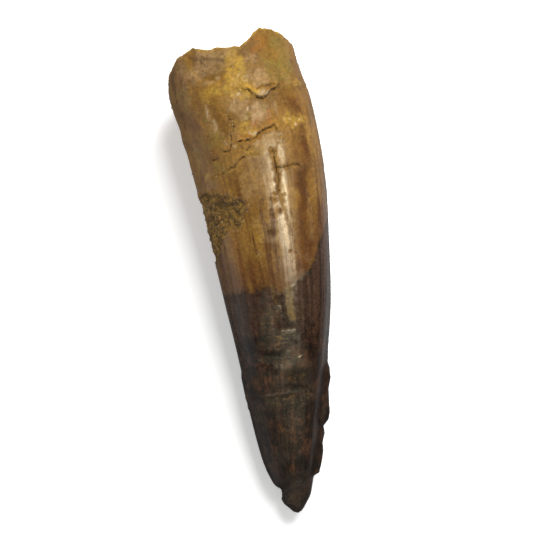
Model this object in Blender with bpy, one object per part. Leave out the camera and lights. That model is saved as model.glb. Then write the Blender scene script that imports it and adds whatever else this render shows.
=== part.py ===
"""A fossil spinosaurus tooth, one solid, lying on its flatter side.

The tooth lies along Y, with its broken root at +Y and its tip at -Y. The saw-like edge (the carina)
runs down its +X side, and +Z is up. The origin is on the surface that it lies on, under its middle.

Measures are in millimetres on a tooth of MEASURED_LENGTH. A place on the upper side is given as seen
from above, as (x, y), and one past the left or right edge is that far down the side. A place on the
underside is given as (angle, y), where the angle goes round the tooth from 0 at its right edge through
90 at the top, 180 at the left edge and 270 underneath.
"""
import math

import bmesh
import bpy
import numpy as np
from mathutils import Vector, noise

LENGTH = 0.0824
MEASURED_LENGTH = 82.4
SCALE = LENGTH / MEASURED_LENGTH

# The body: y, left edge, right edge, top and belly, from the broken root to the tip
STATIONS = (
    (42.0, -11.4, 8.4, 19.0, 0.3),
    (38.0, -12.2, 9.6, 19.5, 0.0),
    (33.0, -12.2, 10.6, 19.9, -0.15),
    (25.0, -11.0, 11.9, 19.9, -0.2),
    (15.0, -9.65, 12.2, 19.0, -0.2),
    (5.0, -8.6, 11.5, 17.4, -0.2),
    (-5.0, -7.5, 10.3, 15.4, -0.2),
    (-15.0, -6.5, 8.3, 12.9, -0.2),
    (-25.0, -5.75, 6.0, 10.3, -0.15),
    (-32.0, -4.85, 4.35, 8.0, 0.1),
    (-37.0, -3.2, 2.9, 5.8, 0.7),
    (-40.0, -1.9, 1.6, 4.6, 1.5),
    (-41.5, -0.6, 0.3, 3.5, 2.4),
)
TIP_Y = -41.5
SQUARENESS = 2.15
BELLY = math.radians(270)

# The broken rim of the root: angle round the tooth and y
RIM = (
    (0, 37.8), (14, 38.2), (22, 39.0), (33, 40.1), (45, 40.6), (56, 40.9), (62, 40.3), (70, 39.4),
    (80, 38.2), (88, 38.2), (97, 38.5), (106, 38.4), (112, 38.7), (119, 39.3), (126, 38.9),
    (134, 38.1), (143, 37.6), (150, 36.8), (160, 35.9), (172, 34.6), (184, 33.6), (200, 32.2),
    (218, 33.0), (236, 34.2), (252, 33.8), (270, 35.4), (288, 34.8), (306, 36.2), (330, 36.6),
    (346, 37.4),
)
END_LEAN = 0.17
END_MIDDLE = 36.2
HOLLOW_DEPTH = 2.2
HOLLOW_REACH = 0.6
HOLLOW_WOBBLE = 0.11
END_ROUGHNESS = 0.35

# The carina, a thin chipped edge: y and how far it stands out of the right side
CARINA = (
    (2.0, 0.0), (-5.0, 0.2), (-14.0, 0.3), (-16.2, 0.4), (-17.5, 0.8), (-19.0, 1.15), (-21.0, 0.95),
    (-23.0, 1.25), (-25.2, 1.6), (-26.3, 1.4), (-27.1, 0.65), (-28.5, 1.0), (-30.0, 0.8),
    (-31.5, 1.1), (-33.2, 1.1), (-35.2, 0.9), (-35.5, 0.15), (-38.6, 0.3), (-40.0, 0.0),
)
CARINA_SPREAD = 0.85
VALLEY_DEPTH = 0.22
VALLEY_PLACE = 2.0

# The worn left edge: y and how far it stands out
LEFT_EDGE = (
    (34.0, 0.0), (32.5, 0.15), (30.5, 0.0), (25.5, 0.0), (24.0, 0.15), (22.0, 0.0), (-20.5, 0.0),
    (-22.4, 0.2), (-22.9, 0.05), (-26.0, 0.0), (-36.4, 0.0), (-37.0, -0.6), (-37.9, -0.4),
    (-38.7, 0.25), (-39.6, 0.35), (-40.6, 0.0),
)
LEFT_SPREAD = 2.6

# Cracks: where each runs, its width, its depth and how far its upper lip stands up
DIAGONAL_CRACK = ((-1.3, 22.4), (0.5, 22.4), (1.4, 22.9), (2.4, 23.5), (3.6, 23.9), (4.8, 24.4),
                  (5.2, 23.6))
FLAKE_LOWER_EDGE = ((0.9, 30.9), (2.1, 30.0), (2.7, 29.3), (3.4, 29.1), (4.1, 29.6), (5.4, 30.3),
                    (6.2, 31.0))
FLAKE_UPPER_EDGE = ((2.5, 30.7), (4.2, 31.1), (5.8, 31.3))
CRACKS = (
    (DIAGONAL_CRACK, 0.9, 0.55, 0.22),
    (FLAKE_LOWER_EDGE, 0.9, 0.5, 0.3),
    (FLAKE_UPPER_EDGE, 0.7, 0.3, 0.0),
    (((-6.4, 19.8), (-5.4, 20.1)), 0.7, 0.35, 0.0),
    (((-4.1, 21.3), (-3.6, 20.8), (-3.2, 21.3), (-2.8, 22.0)), 0.9, 0.5, 0.15),
    (((-3.8, 18.0), (-2.9, 18.5), (-2.1, 19.1), (-1.2, 19.8)), 0.8, 0.42, 0.1),
    (((-6.8, 17.0), (-5.9, 17.2), (-4.6, 17.6)), 0.7, 0.35, 0.0),
    (((-10.2, 13.9), (-9.4, 14.2), (-8.2, 14.6)), 1.0, 0.6, 0.1),
    (((-1.2, 21.6), (-0.8, 21.1), (-0.3, 20.9), (0.1, 21.2)), 0.7, 0.35, 0.0),
    (((4.0, 17.2), (5.6, 17.2), (7.2, 17.5), (8.4, 17.1)), 0.7, 0.4, 0.0),
    (((3.9, 20.2), (4.1, 18.4), (4.2, 15.7), (4.0, 13.4)), 0.7, 0.32, 0.0),
    (((-2.8, 27.0), (-2.2, 25.8), (-2.0, 24.8), (-2.7, 23.6), (-2.8, 22.4)), 0.8, 0.25, 0.0),
    (((1.1, -19.5), (2.6, -19.7), (4.1, -20.0), (5.2, -21.4)), 0.8, 0.45, 0.0),
    (((-2.9, -37.1), (-1.1, -35.9), (-0.1, -35.2), (1.0, -35.0), (2.3, -34.9)), 0.7, 0.35, 0.0),
)

# Pits: place, radius and depth
PITS = (
    ((1.6, 6.7), 0.55, 0.4), ((0.0, 8.5), 0.4, 0.25), ((1.1, 9.3), 0.4, 0.25), ((2.4, 9.5), 0.4, 0.25),
    ((3.6, 10.1), 0.35, 0.2), ((3.1, 11.9), 0.35, 0.2), ((-1.0, 35.0), 0.6, 0.35),
    ((-6.2, 36.4), 0.7, 0.3), ((3.1, -17.7), 0.8, 0.4), ((-3.3, -18.6), 0.8, 0.3),
    ((-5.2, -33.0), 0.5, 0.2),
)

# Where the surface layer has flaked off or stands up: outline, height and width of the slope round it
CRUMBLED = ((-13.6, 12.6), (-10.4, 13.8), (-8.2, 14.5), (-4.6, 13.7), (-1.7, 12.2), (-2.6, 9.9),
            (-3.3, 8.0), (-5.6, 7.8), (-6.6, 6.2), (-7.6, 3.2), (-9.6, 2.7), (-12.4, 5.8))
CRUMBLED_DEEPEST = ((-6.9, 12.6), (-4.4, 12.6), (-3.2, 10.4), (-3.8, 8.3), (-5.8, 8.4), (-6.6, 10.4))
RIM_SPALL = ((-8.0, 37.6), (-7.6, 35.2), (-6.6, 33.7), (-4.0, 32.7), (-2.4, 33.6), (-1.9, 36.4))
OUTER_LAYER = ((16.0, 31.6), (12.0, 30.2), (9.9, 29.8), (8.4, 28.9), (7.2, 27.6), (6.5, 25.6),
               (5.6, 22.4), (4.1, 20.2), (4.2, 17.3), (8.4, 17.2), (13.0, 16.4), (17.0, 19.0))
FLAKE = ((0.9, 30.9), (2.7, 29.4), (3.4, 29.2), (5.4, 30.4), (6.2, 31.0), (4.2, 31.0), (2.5, 30.8))
SWOLLEN_BAND = ((-9.6, -18.6), (-6.6, -16.8), (-3.6, -15.2), (0.4, -15.9), (4.4, -16.6), (5.2, -20.6),
                (2.1, -21.2), (-1.5, -20.9), (-3.4, -20.5), (-6.2, -21.2), (-9.0, -21.8))
FLAKED_DARK = ((-2.4, -5.2), (0.4, -4.9), (0.9, -9.4), (0.2, -12.4), (-2.9, -11.9), (-3.2, -8.6))
BROKEN_TIP = ((-6.0, -36.4), (-1.2, -36.0), (0.0, -35.3), (1.4, -35.2), (5.0, -35.9), (4.0, -43.0),
              (-5.0, -43.0))
PATCHES = (
    (CRUMBLED, -0.3, 0.5), (CRUMBLED_DEEPEST, -0.35, 0.9), (RIM_SPALL, -0.32, 0.8),
    (OUTER_LAYER, 0.15, 0.6), (FLAKE, 0.22, 0.4), (SWOLLEN_BAND, 0.3, 0.8), (FLAKED_DARK, -0.16, 0.7),
    (BROKEN_TIP, -0.3, 0.5),
)

# The underside, which the tooth hides: the same kinds of damage, by angle and y
UNDER_CRACKS = (
    (((196, 22.0), (206, 20.5), (214, 21.4), (226, 19.2)), 0.9, 0.5, 0.15),
    (((318, 27.0), (326, 24.6), (322, 20.0), (328, 15.0)), 0.8, 0.4, 0.0),
    (((214, 5.0), (220, -2.0), (216, -9.0)), 0.8, 0.3, 0.0),
    (((304, 3.0), (316, 2.2), (330, 3.4)), 0.8, 0.4, 0.1),
    (((202, -24.0), (216, -25.2), (232, -24.4)), 0.7, 0.35, 0.0),
)
UNDER_PATCHES = (
    (((300, 34.0), (326, 33.4), (332, 28.6), (318, 26.8), (302, 29.0)), -0.4, 0.7),
    (((206, 15.0), (228, 14.0), (232, 8.6), (214, 7.4)), -0.35, 0.6),
    (((300, -14.0), (322, -13.0), (330, -18.0), (312, -20.0)), 0.22, 0.7),
)

# Soft lumps all over: size across and height, more on the root than on the crown or under it
LUMPS = ((9.0, 0.20), (3.6, 0.11))
CROWN_SHARE = 0.45
CROWN_START = 0.0
ROOT_START = 14.0
BELLY_SHARE = 0.25
BELLY_REACH = math.radians(50)
CRUMBLE_LUMPS = (1.3, 0.22)

# How far the cracks and the outlines wander from their straight stretches, and over what distance
WANDER = 0.32
WANDER_SIZE = 1.5

ROWS = 300
COLUMNS = 264
END_RINGS = 40
KEPT_SHARE = 0.049
GROUND_SIZE = 0.2

TOOTH_COLOUR = (0.235, 0.125, 0.045, 1.0)
TOOTH_ROUGHNESS = 0.38


def clear_scene():
    """Remove what the file holds before the tooth is made."""
    for thing in list(bpy.data.objects):
        bpy.data.objects.remove(thing, do_unlink=True)


def smooth_curve(knots, values, at):
    """A smooth curve through the knots that doesn't swing past them (cubic Hermite)."""
    knots, values, at = (np.asarray(part, float) for part in (knots, values, at))
    gaps = np.diff(knots)
    slopes = np.diff(values) / gaps
    inner = np.where(slopes[:-1] * slopes[1:] > 0,
                     2 * slopes[:-1] * slopes[1:] / (slopes[:-1] + slopes[1:] + 1e-12), 0)
    tangents = np.concatenate((slopes[:1], inner, slopes[-1:]))
    place = np.clip(np.searchsorted(knots, at) - 1, 0, len(gaps) - 1)
    t = np.clip((at - knots[place]) / gaps[place], 0, 1)
    start, end = values[place], values[place + 1]
    lift = gaps[place] * (tangents[place] * t * (1 - t) ** 2 - tangents[place + 1] * t * t * (1 - t))
    return start + (end - start) * t * t * (3 - 2 * t) + lift


def ease(value, low, high):
    """0 below low, 1 above high and a soft rise between them."""
    t = np.clip((value - low) / (high - low), 0, 1)
    return t * t * (3 - 2 * t)


def section(y):
    """Middle and half size, across and up, of the tooth's section at y."""
    stations = np.array(STATIONS)[::-1].T
    left, right, top, belly = (smooth_curve(stations[0], row, y) for row in stations[1:])
    return (left + right) / 2, (right - left) / 2, (top + belly) / 2, (top - belly) / 2


def rounded(value):
    """The cosine or sine of an ellipse, drawn out towards a rounded square."""
    return np.sign(value) * np.abs(value) ** (2 / SQUARENESS)


def around(angle, y):
    """How far round from the top a place at this angle is, along the surface: the unrolled x."""
    _, half_width, _, half_height = section(y)
    from_top = math.pi / 2 - np.where(angle > BELLY, angle - 2 * math.pi, angle)
    return from_top * (half_width + half_height) / 2


def upper_place(x, y):
    """The unrolled place of a point that is seen from above."""
    middle, half_width, _, _ = section(y)
    reach = x - middle
    seen = np.clip(reach, -half_width, half_width)
    share = seen / half_width
    angle = np.arccos(np.sign(share) * np.abs(share) ** (SQUARENESS / 2))
    return float(around(angle, y) + reach - seen), y


def under_place(angle, y):
    """The unrolled place of a point of the underside, on the left or the right of the belly line."""
    return float(around(math.radians(angle), y)), y


def distance_to_line(flat, points):
    """Distance from each unrolled place to a line, and which side of it the place is on."""
    nearest = np.full(len(flat), np.inf)
    side = np.zeros(len(flat))
    for start, end in zip(points[:-1], points[1:]):
        start, end = np.array(start), np.array(end)
        run = end - start
        share = np.clip(((flat - start) @ run) / (run @ run), 0, 1)
        gap = flat - start - share[:, None] * run
        distance = np.hypot(gap[:, 0], gap[:, 1])
        closer = distance < nearest
        nearest = np.where(closer, distance, nearest)
        side = np.where(closer, run[0] * gap[:, 1] - run[1] * gap[:, 0], side)
    return nearest, side


def depth_inside(flat, outline):
    """How far inside a closed outline each place is, and less than nothing outside it."""
    points = list(outline) + [outline[0]]
    distance, _ = distance_to_line(flat, points)
    inside = np.zeros(len(flat), bool)
    for start, end in zip(points[:-1], points[1:]):
        if start[1] == end[1]:
            continue
        crosses = (start[1] > flat[:, 1]) != (end[1] > flat[:, 1])
        at = start[0] + (flat[:, 1] - start[1]) * (end[0] - start[0]) / (end[1] - start[1])
        inside ^= crosses & (flat[:, 0] < at)
    return np.where(inside, distance, -distance)


def crack_relief(flat, points, width, depth, lip):
    """A V-shaped crack with closed ends, and a lip on the side towards the root."""
    distance, side = distance_to_line(flat, points)
    groove = -depth * np.clip(1 - 2 * distance / width, 0, 1)
    raised = lip * np.where(side > 0, np.exp(-((distance - width) / width) ** 2), 0)
    return groove + raised


def lumps_at(place, size):
    """Soft noise in three dimensions, between about -1 and 1."""
    return np.array([noise.noise(Vector(point) / size) for point in place]) * 1.6


def wander(place):
    """A small drift across and along the surface, which makes drawn lines look broken by nature."""
    across = lumps_at(place, WANDER_SIZE)
    along = lumps_at(place + np.array((0, 0, 50.0)), WANDER_SIZE)
    return WANDER * np.stack((across, along), axis=-1)


def relief(smooth_flat, place, angle):
    """How far each point of the side stands in or out of the smooth body."""
    flat = smooth_flat + wander(place)
    y = smooth_flat[:, 1]
    height = np.zeros(len(flat))
    for points, width, depth, lip in CRACKS:
        height += crack_relief(flat, [upper_place(*p) for p in points], width, depth, lip)
    for points, width, depth, lip in UNDER_CRACKS:
        height += crack_relief(flat, [under_place(*p) for p in points], width, depth, lip)
    for centre, radius, depth in PITS:
        distance = np.hypot(*(flat - np.array(upper_place(*centre))).T)
        height -= depth * np.exp(-(distance / radius) ** 4)
    for outline, rise, slope in PATCHES:
        inside = depth_inside(flat, [upper_place(*p) for p in outline])
        height += rise * ease(inside, -slope / 2, slope / 2)
    for outline, rise, slope in UNDER_PATCHES:
        inside = depth_inside(flat, [under_place(*p) for p in outline])
        height += rise * ease(inside, -slope / 2, slope / 2)
    crumbled = ease(depth_inside(flat, [upper_place(*p) for p in CRUMBLED]), -0.2, 0.6)
    height += crumbled * CRUMBLE_LUMPS[1] * lumps_at(place, CRUMBLE_LUMPS[0])
    share = CROWN_SHARE + (1 - CROWN_SHARE) * ease(y, CROWN_START, ROOT_START)
    share *= BELLY_SHARE + (1 - BELLY_SHARE) * ease(np.abs(angle - BELLY), BELLY_REACH / 2, BELLY_REACH)
    for size, rise in LUMPS:
        height += rise * share * lumps_at(place, size)
    return height


def edge_relief(flat, angle):
    """The carina on the right, with a shallow valley inside it, and the worn left edge."""
    y = flat[:, 1]
    right = np.abs(around(angle, y) - around(0.0, y))
    chips = np.array(CARINA)[::-1].T
    stand = np.interp(y, *chips)
    carina = stand * np.exp(-(right / CARINA_SPREAD) ** 2)
    carina -= VALLEY_DEPTH * np.clip(stand, 0, 1) * np.exp(-((right - VALLEY_PLACE) / CARINA_SPREAD) ** 2)
    left = np.abs(around(angle, y) - around(math.pi, y))
    wear = np.interp(y, *np.array(LEFT_EDGE)[::-1].T) * np.exp(-(left / LEFT_SPREAD) ** 2)
    return carina + wear


def rim_y(angle):
    """Where the root is broken off, at an angle round the tooth in radians."""
    turns = [turn for turn, _ in RIM] + [RIM[0][0] + 360]
    ends = [y for _, y in RIM] + [RIM[0][1]]
    return np.interp(np.degrees(angle) % 360, turns, ends)


def side_points(angles):
    """The rings of the tooth's side, from the rim to the tip, as an array of rows."""
    share = np.linspace(0, 1, ROWS, endpoint=False)
    tip_room = 0.12
    rim = rim_y(angles)
    y = rim[None, :] + (TIP_Y + tip_room - rim[None, :]) * share[:, None]
    angle = np.broadcast_to(angles[None, :], y.shape)
    middle, half_width, height, half_height = section(y)
    out_x, out_z = rounded(np.cos(angle)), rounded(np.sin(angle))
    body = np.stack((middle + half_width * out_x, y, height + half_height * out_z), axis=-1)
    normal = np.stack((out_x * half_height, np.zeros_like(y), out_z * half_width), axis=-1)
    normal /= np.linalg.norm(normal, axis=-1, keepdims=True)
    flat = np.stack((around(angle, y), y), axis=-1).reshape(-1, 2)
    stand = relief(flat, body.reshape(-1, 3), angle.reshape(-1)) + edge_relief(flat, angle.reshape(-1))
    tip_fade = ease(y, TIP_Y, TIP_Y + 2.0)
    return body + normal * (stand.reshape(y.shape) * tip_fade)[..., None]


def end_points(rim):
    """The rings of the broken end, from just inside the rim towards its middle."""
    middle = rim.mean(axis=0)
    rings = []
    for ring in range(1, END_RINGS):
        share = 1 - ring / END_RINGS
        points = middle + (rim - middle) * share
        lean = END_MIDDLE + END_LEAN * (points[:, 2] - middle[2])
        rim_lean = END_MIDDLE + END_LEAN * (rim[:, 2] - middle[2])
        points[:, 1] = lean + (rim[:, 1] - rim_lean) * share ** 5
        reach = HOLLOW_REACH + HOLLOW_WOBBLE * lumps_at(points, 4.5)
        points[:, 1] -= HOLLOW_DEPTH * ease(reach - share, 0, 0.16)
        rough = END_ROUGHNESS * (1 - share ** 6)
        points[:, 1] += rough * (lumps_at(points, 2.2) + 0.5 * lumps_at(points, 0.9))
        rings.append(points)
    return np.array(rings)


def tooth_mesh():
    """The closed skin of the tooth, in metres, before it is thinned and rested on its belly."""
    angles = np.linspace(0, 2 * math.pi, COLUMNS, endpoint=False)
    side = side_points(angles)
    end = end_points(side[0])
    rings = np.concatenate((end[::-1], side)) * SCALE
    end_middle = end[-1].mean(axis=0) * SCALE
    tip_middle = side[-1].mean(axis=0) * SCALE
    tip_middle[1] = TIP_Y * SCALE
    shape = bmesh.new()
    rows = [[shape.verts.new(point) for point in ring] for ring in rings]
    poles = [shape.verts.new(end_middle), shape.verts.new(tip_middle)]
    for upper, lower in zip(rows[:-1], rows[1:]):
        for here in range(COLUMNS):
            after = (here + 1) % COLUMNS
            shape.faces.new((upper[here], upper[after], lower[after], lower[here]))
    for here in range(COLUMNS):
        after = (here + 1) % COLUMNS
        shape.faces.new((poles[0], rows[0][after], rows[0][here]))
        shape.faces.new((poles[1], rows[-1][here], rows[-1][after]))
    bmesh.ops.recalc_face_normals(shape, faces=shape.faces)
    mesh = bpy.data.meshes.new("tooth")
    shape.to_mesh(mesh)
    shape.free()
    centre_over_origin(mesh)
    return mesh


def centre_over_origin(mesh):
    """Shift the mesh level, so that the middle of its length and width is at the origin."""
    points = np.array([tuple(vertex.co) for vertex in mesh.vertices])
    middle = (points.min(axis=0) + points.max(axis=0)) / 2
    for vertex in mesh.vertices:
        vertex.co -= Vector((middle[0], middle[1], 0))


def ground_block():
    """The surface under the tooth, which cuts its belly flat."""
    bpy.ops.mesh.primitive_cube_add(size=GROUND_SIZE, location=(0, 0, -GROUND_SIZE / 2))
    block = bpy.context.object
    block.name = "ground_cutter"
    block.hide_render = True
    block.display_type = "WIRE"
    return block


def tooth_material():
    """Brown fossil enamel and dentine, with a soft gloss."""
    material = bpy.data.materials.new("fossil_tooth")
    material.use_nodes = True
    shader = material.node_tree.nodes["Principled BSDF"]
    shader.inputs["Base Color"].default_value = TOOTH_COLOUR
    shader.inputs["Roughness"].default_value = TOOTH_ROUGHNESS
    shader.inputs["Metallic"].default_value = 0.0
    return material


def make_tooth():
    """The tooth, thinned to what its lumps, cracks and chips need and cut flat where it rests."""
    tooth = bpy.data.objects.new("tooth", tooth_mesh())
    bpy.context.collection.objects.link(tooth)
    tooth.data.materials.append(tooth_material())
    thin = tooth.modifiers.new("thin", "DECIMATE")
    thin.ratio = KEPT_SHARE
    rest = tooth.modifiers.new("rest", "BOOLEAN")
    rest.operation = "DIFFERENCE"
    rest.solver = "EXACT"
    rest.object = ground_block()
    return tooth


clear_scene()
make_tooth()
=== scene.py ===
"""A fossil spinosaurus tooth on a pale studio floor, laid out as a Blender add-on.

The tooth lies along Y, with its broken root at +Y and its tip at -Y. A thin, chipped edge (the carina)
runs down its +X side. Its measures are in millimetres on a tooth of MEASURED_LENGTH, and become metres
when the mesh is made. A place on the upper side is given as seen from above, as (x, y), and one past the
left or right edge is that far down the side. A place on the underside is given as (angle, y), where the
angle goes round the tooth from 0 at its right edge through 90 at the top, 180 at the left edge and 270
underneath.
"""

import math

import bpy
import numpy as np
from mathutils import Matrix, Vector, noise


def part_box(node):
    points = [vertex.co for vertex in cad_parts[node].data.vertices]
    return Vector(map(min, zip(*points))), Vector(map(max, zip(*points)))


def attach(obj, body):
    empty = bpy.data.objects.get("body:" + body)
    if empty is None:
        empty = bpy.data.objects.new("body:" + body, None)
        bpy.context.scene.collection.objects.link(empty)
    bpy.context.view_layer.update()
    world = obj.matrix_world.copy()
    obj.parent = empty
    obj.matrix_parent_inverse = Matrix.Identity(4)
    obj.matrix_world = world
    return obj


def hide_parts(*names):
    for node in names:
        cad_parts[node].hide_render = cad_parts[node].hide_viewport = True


bl_info = {
    "name": "Fossil Spinosaurus Tooth",
    "version": (1, 0, 0),
    "blender": (4, 5, 0),
    "location": "View3D > Sidebar > Fossil Tooth",
    "description": "Makes a cracked fossil tooth with dark enamel, its matrix grains and a studio floor",
    "category": "Object",
}

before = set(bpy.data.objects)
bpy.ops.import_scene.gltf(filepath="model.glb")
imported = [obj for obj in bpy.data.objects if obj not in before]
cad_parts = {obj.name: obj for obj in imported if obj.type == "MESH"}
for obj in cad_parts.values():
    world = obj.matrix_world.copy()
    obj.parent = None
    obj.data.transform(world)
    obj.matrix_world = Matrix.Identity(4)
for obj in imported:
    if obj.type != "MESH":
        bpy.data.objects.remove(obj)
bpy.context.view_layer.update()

TOOTH_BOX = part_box("tooth")
MEASURED_LENGTH = 82.4
MILLIMETRES = 1000.0

# A distance in millimetres that stands for out of reach
FAR = 9.0

# The body: y, left edge, right edge, top and belly, from the broken root to the tip
STATIONS = (
    (42.0, -11.4, 8.4, 19.0, 0.3),
    (38.0, -12.2, 9.6, 19.5, 0.0),
    (33.0, -12.2, 10.6, 19.9, -0.15),
    (25.0, -11.0, 11.9, 19.9, -0.2),
    (15.0, -9.65, 12.2, 19.0, -0.2),
    (5.0, -8.6, 11.5, 17.4, -0.2),
    (-5.0, -7.5, 10.3, 15.4, -0.2),
    (-15.0, -6.5, 8.3, 12.9, -0.2),
    (-25.0, -5.75, 6.0, 10.3, -0.15),
    (-32.0, -4.85, 4.35, 8.0, 0.1),
    (-37.0, -3.2, 2.9, 5.8, 0.7),
    (-40.0, -1.9, 1.6, 4.6, 1.5),
    (-41.5, -0.6, 0.3, 3.5, 2.4),
)
TIP_Y = -41.5
SQUARENESS = 2.15
BELLY = math.radians(270)

# The broken rim of the root: angle round the tooth and y
RIM = (
    (0, 37.8), (14, 38.2), (22, 39.0), (33, 40.1), (45, 40.6), (56, 40.9), (62, 40.3), (70, 39.4),
    (80, 38.2), (88, 38.2), (97, 38.5), (106, 38.4), (112, 38.7), (119, 39.3), (126, 38.9),
    (134, 38.1), (143, 37.6), (150, 36.8), (160, 35.9), (172, 34.6), (184, 33.6), (200, 32.2),
    (218, 33.0), (236, 34.2), (252, 33.8), (270, 35.4), (288, 34.8), (306, 36.2), (330, 36.6),
    (346, 37.4),
)
RIM_CHIPS = ((1.6, 0.22), (0.7, 0.16))
END_LEAN = 0.17
END_MIDDLE = 36.2
HOLLOW_DEPTH = 2.2
HOLLOW_REACH = 0.6
HOLLOW_WOBBLE = 0.11
END_ROUGHNESS = 0.35

# The carina, a thin chipped edge: y and how far it stands out of the right side
CARINA = (
    (2.0, 0.0), (-5.0, 0.2), (-14.0, 0.3), (-16.2, 0.4), (-17.5, 0.8), (-19.0, 1.15), (-21.0, 0.95),
    (-23.0, 1.25), (-25.2, 1.6), (-26.3, 1.4), (-27.1, 0.65), (-28.5, 1.0), (-30.0, 0.8),
    (-31.5, 1.1), (-33.2, 1.1), (-35.2, 0.9), (-35.5, 0.15), (-38.6, 0.3), (-40.0, 0.0),
)
CARINA_SPREAD = 0.85
VALLEY_DEPTH = 0.22
VALLEY_PLACE = 2.0

# The worn left edge: y and how far it stands out
LEFT_EDGE = (
    (34.0, 0.0), (32.5, 0.15), (30.5, 0.0), (25.5, 0.0), (24.0, 0.15), (22.0, 0.0), (-20.5, 0.0),
    (-22.4, 0.2), (-22.9, 0.05), (-26.0, 0.0), (-36.4, 0.0), (-37.0, -0.6), (-37.9, -0.4),
    (-38.7, 0.25), (-39.6, 0.35), (-40.6, 0.0),
)
LEFT_SPREAD = 2.6

# Cracks: where each runs, its width, its depth and how far its upper lip stands up
DIAGONAL_CRACK = ((-1.3, 22.4), (0.5, 22.4), (1.4, 22.9), (2.4, 23.5), (3.6, 23.9), (4.8, 24.4),
                  (5.2, 23.6))
FLAKE_LOWER_EDGE = ((0.9, 30.9), (2.1, 30.0), (2.7, 29.3), (3.4, 29.1), (4.1, 29.6), (5.4, 30.3),
                    (6.2, 31.0))
FLAKE_UPPER_EDGE = ((2.5, 30.7), (4.2, 31.1), (5.8, 31.3))
CRACKS = (
    (DIAGONAL_CRACK, 0.9, 0.55, 0.22),
    (FLAKE_LOWER_EDGE, 0.9, 0.5, 0.3),
    (FLAKE_UPPER_EDGE, 0.7, 0.3, 0.0),
    (((-6.4, 19.8), (-5.4, 20.1)), 0.7, 0.35, 0.0),
    (((-4.1, 21.3), (-3.6, 20.8), (-3.2, 21.3), (-2.8, 22.0)), 0.9, 0.5, 0.15),
    (((-3.8, 18.0), (-2.9, 18.5), (-2.1, 19.1), (-1.2, 19.8)), 0.8, 0.42, 0.1),
    (((-6.8, 17.0), (-5.9, 17.2), (-4.6, 17.6)), 0.7, 0.35, 0.0),
    (((-10.2, 13.9), (-9.4, 14.2), (-8.2, 14.6)), 1.0, 0.6, 0.1),
    (((-1.2, 21.6), (-0.8, 21.1), (-0.3, 20.9), (0.1, 21.2)), 0.7, 0.35, 0.0),
    (((4.0, 17.2), (5.6, 17.2), (7.2, 17.5), (8.4, 17.1)), 0.7, 0.4, 0.0),
    (((3.9, 20.2), (4.1, 18.4), (4.2, 15.7), (4.0, 13.4)), 0.7, 0.32, 0.0),
    (((-2.8, 27.0), (-2.2, 25.8), (-2.0, 24.8), (-2.7, 23.6), (-2.8, 22.4)), 0.8, 0.25, 0.0),
    (((1.1, -19.5), (2.6, -19.7), (4.1, -20.0), (5.2, -21.4)), 0.8, 0.45, 0.0),
    (((-2.9, -37.1), (-1.1, -35.9), (-0.1, -35.2), (1.0, -35.0), (2.3, -34.9)), 0.7, 0.35, 0.0),
)
UNDER_CRACKS = (
    (((196, 22.0), (206, 20.5), (214, 21.4), (226, 19.2)), 0.9, 0.5, 0.15),
    (((318, 27.0), (326, 24.6), (322, 20.0), (328, 15.0)), 0.8, 0.4, 0.0),
    (((214, 5.0), (220, -2.0), (216, -9.0)), 0.8, 0.3, 0.0),
    (((304, 3.0), (316, 2.2), (330, 3.4)), 0.8, 0.4, 0.1),
    (((202, -24.0), (216, -25.2), (232, -24.4)), 0.7, 0.35, 0.0),
)
# How much narrower and shallower the skin's cracks are than the solid's
CRACK_NARROWING = 0.48
CRACK_SHALLOWING = 0.65

# Hairline cracks, too fine for the solid
HAIRLINES = (
    ((-6.6, 24.0), (-6.0, 26.0), (-5.7, 28.3), (-6.3, 30.2)),
    ((-9.6, 29.0), (-10.2, 32.0), (-9.4, 34.5)),
    ((-2.3, 31.6), (-0.6, 31.2), (0.9, 30.9)),
    ((-5.6, 19.6), (-3.9, 20.3), (-2.4, 20.0)),
    ((6.2, 31.0), (7.6, 31.6), (9.0, 31.4)),
    ((5.2, 23.6), (6.4, 24.2), (8.2, 23.9), (9.6, 24.5)),
    ((4.6, 24.4), (5.0, 26.0), (4.4, 27.6), (4.6, 29.6)),
    ((4.0, 13.4), (4.3, 11.2), (4.9, 8.8), (5.2, 6.0)),
    ((-8.2, 14.6), (-6.6, 14.9), (-5.6, 14.2)),
    ((-1.2, 19.8), (0.2, 20.2), (1.2, 20.0)),
    ((10.2, 22.0), (10.4, 17.0), (10.3, 12.0)),
    ((8.6, 12.8), (8.8, 8.4), (8.4, 4.6)),
    ((-5.2, -20.8), (-3.3, -20.5), (-1.4, -20.9), (0.4, -21.1), (2.4, -21.2)),
    ((-6.4, 5.2), (-6.2, 0.0), (-5.8, -4.0)),
)
HAIRLINE_WIDTH = 0.32
HAIRLINE_DEPTH = 0.05

# Pits: place, radius and depth
PITS = (
    ((1.6, 6.7), 0.42, 0.4), ((0.0, 8.5), 0.3, 0.25), ((1.1, 9.3), 0.3, 0.25), ((2.4, 9.5), 0.28, 0.25),
    ((3.6, 10.1), 0.25, 0.2), ((3.1, 11.9), 0.25, 0.2), ((-1.0, 35.0), 0.35, 0.3),
    ((-6.2, 36.4), 0.4, 0.3), ((3.1, -17.7), 0.8, 0.4), ((-3.3, -18.6), 0.8, 0.3),
    ((-5.2, -33.0), 0.5, 0.2),
)
SMALL_PITS = (
    (-2.6, 12.7), (2.4, 12.2), (4.5, 11.4), (2.3, 10.3), (0.3, 5.6), (4.7, 3.2), (10.7, 11.6),
    (10.3, 6.2), (5.4, 2.8), (-1.9, 14.1), (-0.6, 3.4), (4.6, 12.6), (3.3, 13.1),
)
# Radius and depth of a small pit, how far dirt reaches round a pit, and the share of its depth kept
SMALL_PIT = (0.15, 0.1)
PIT_DIRT = 0.2
PIT_SHALLOWING = 0.35

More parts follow.
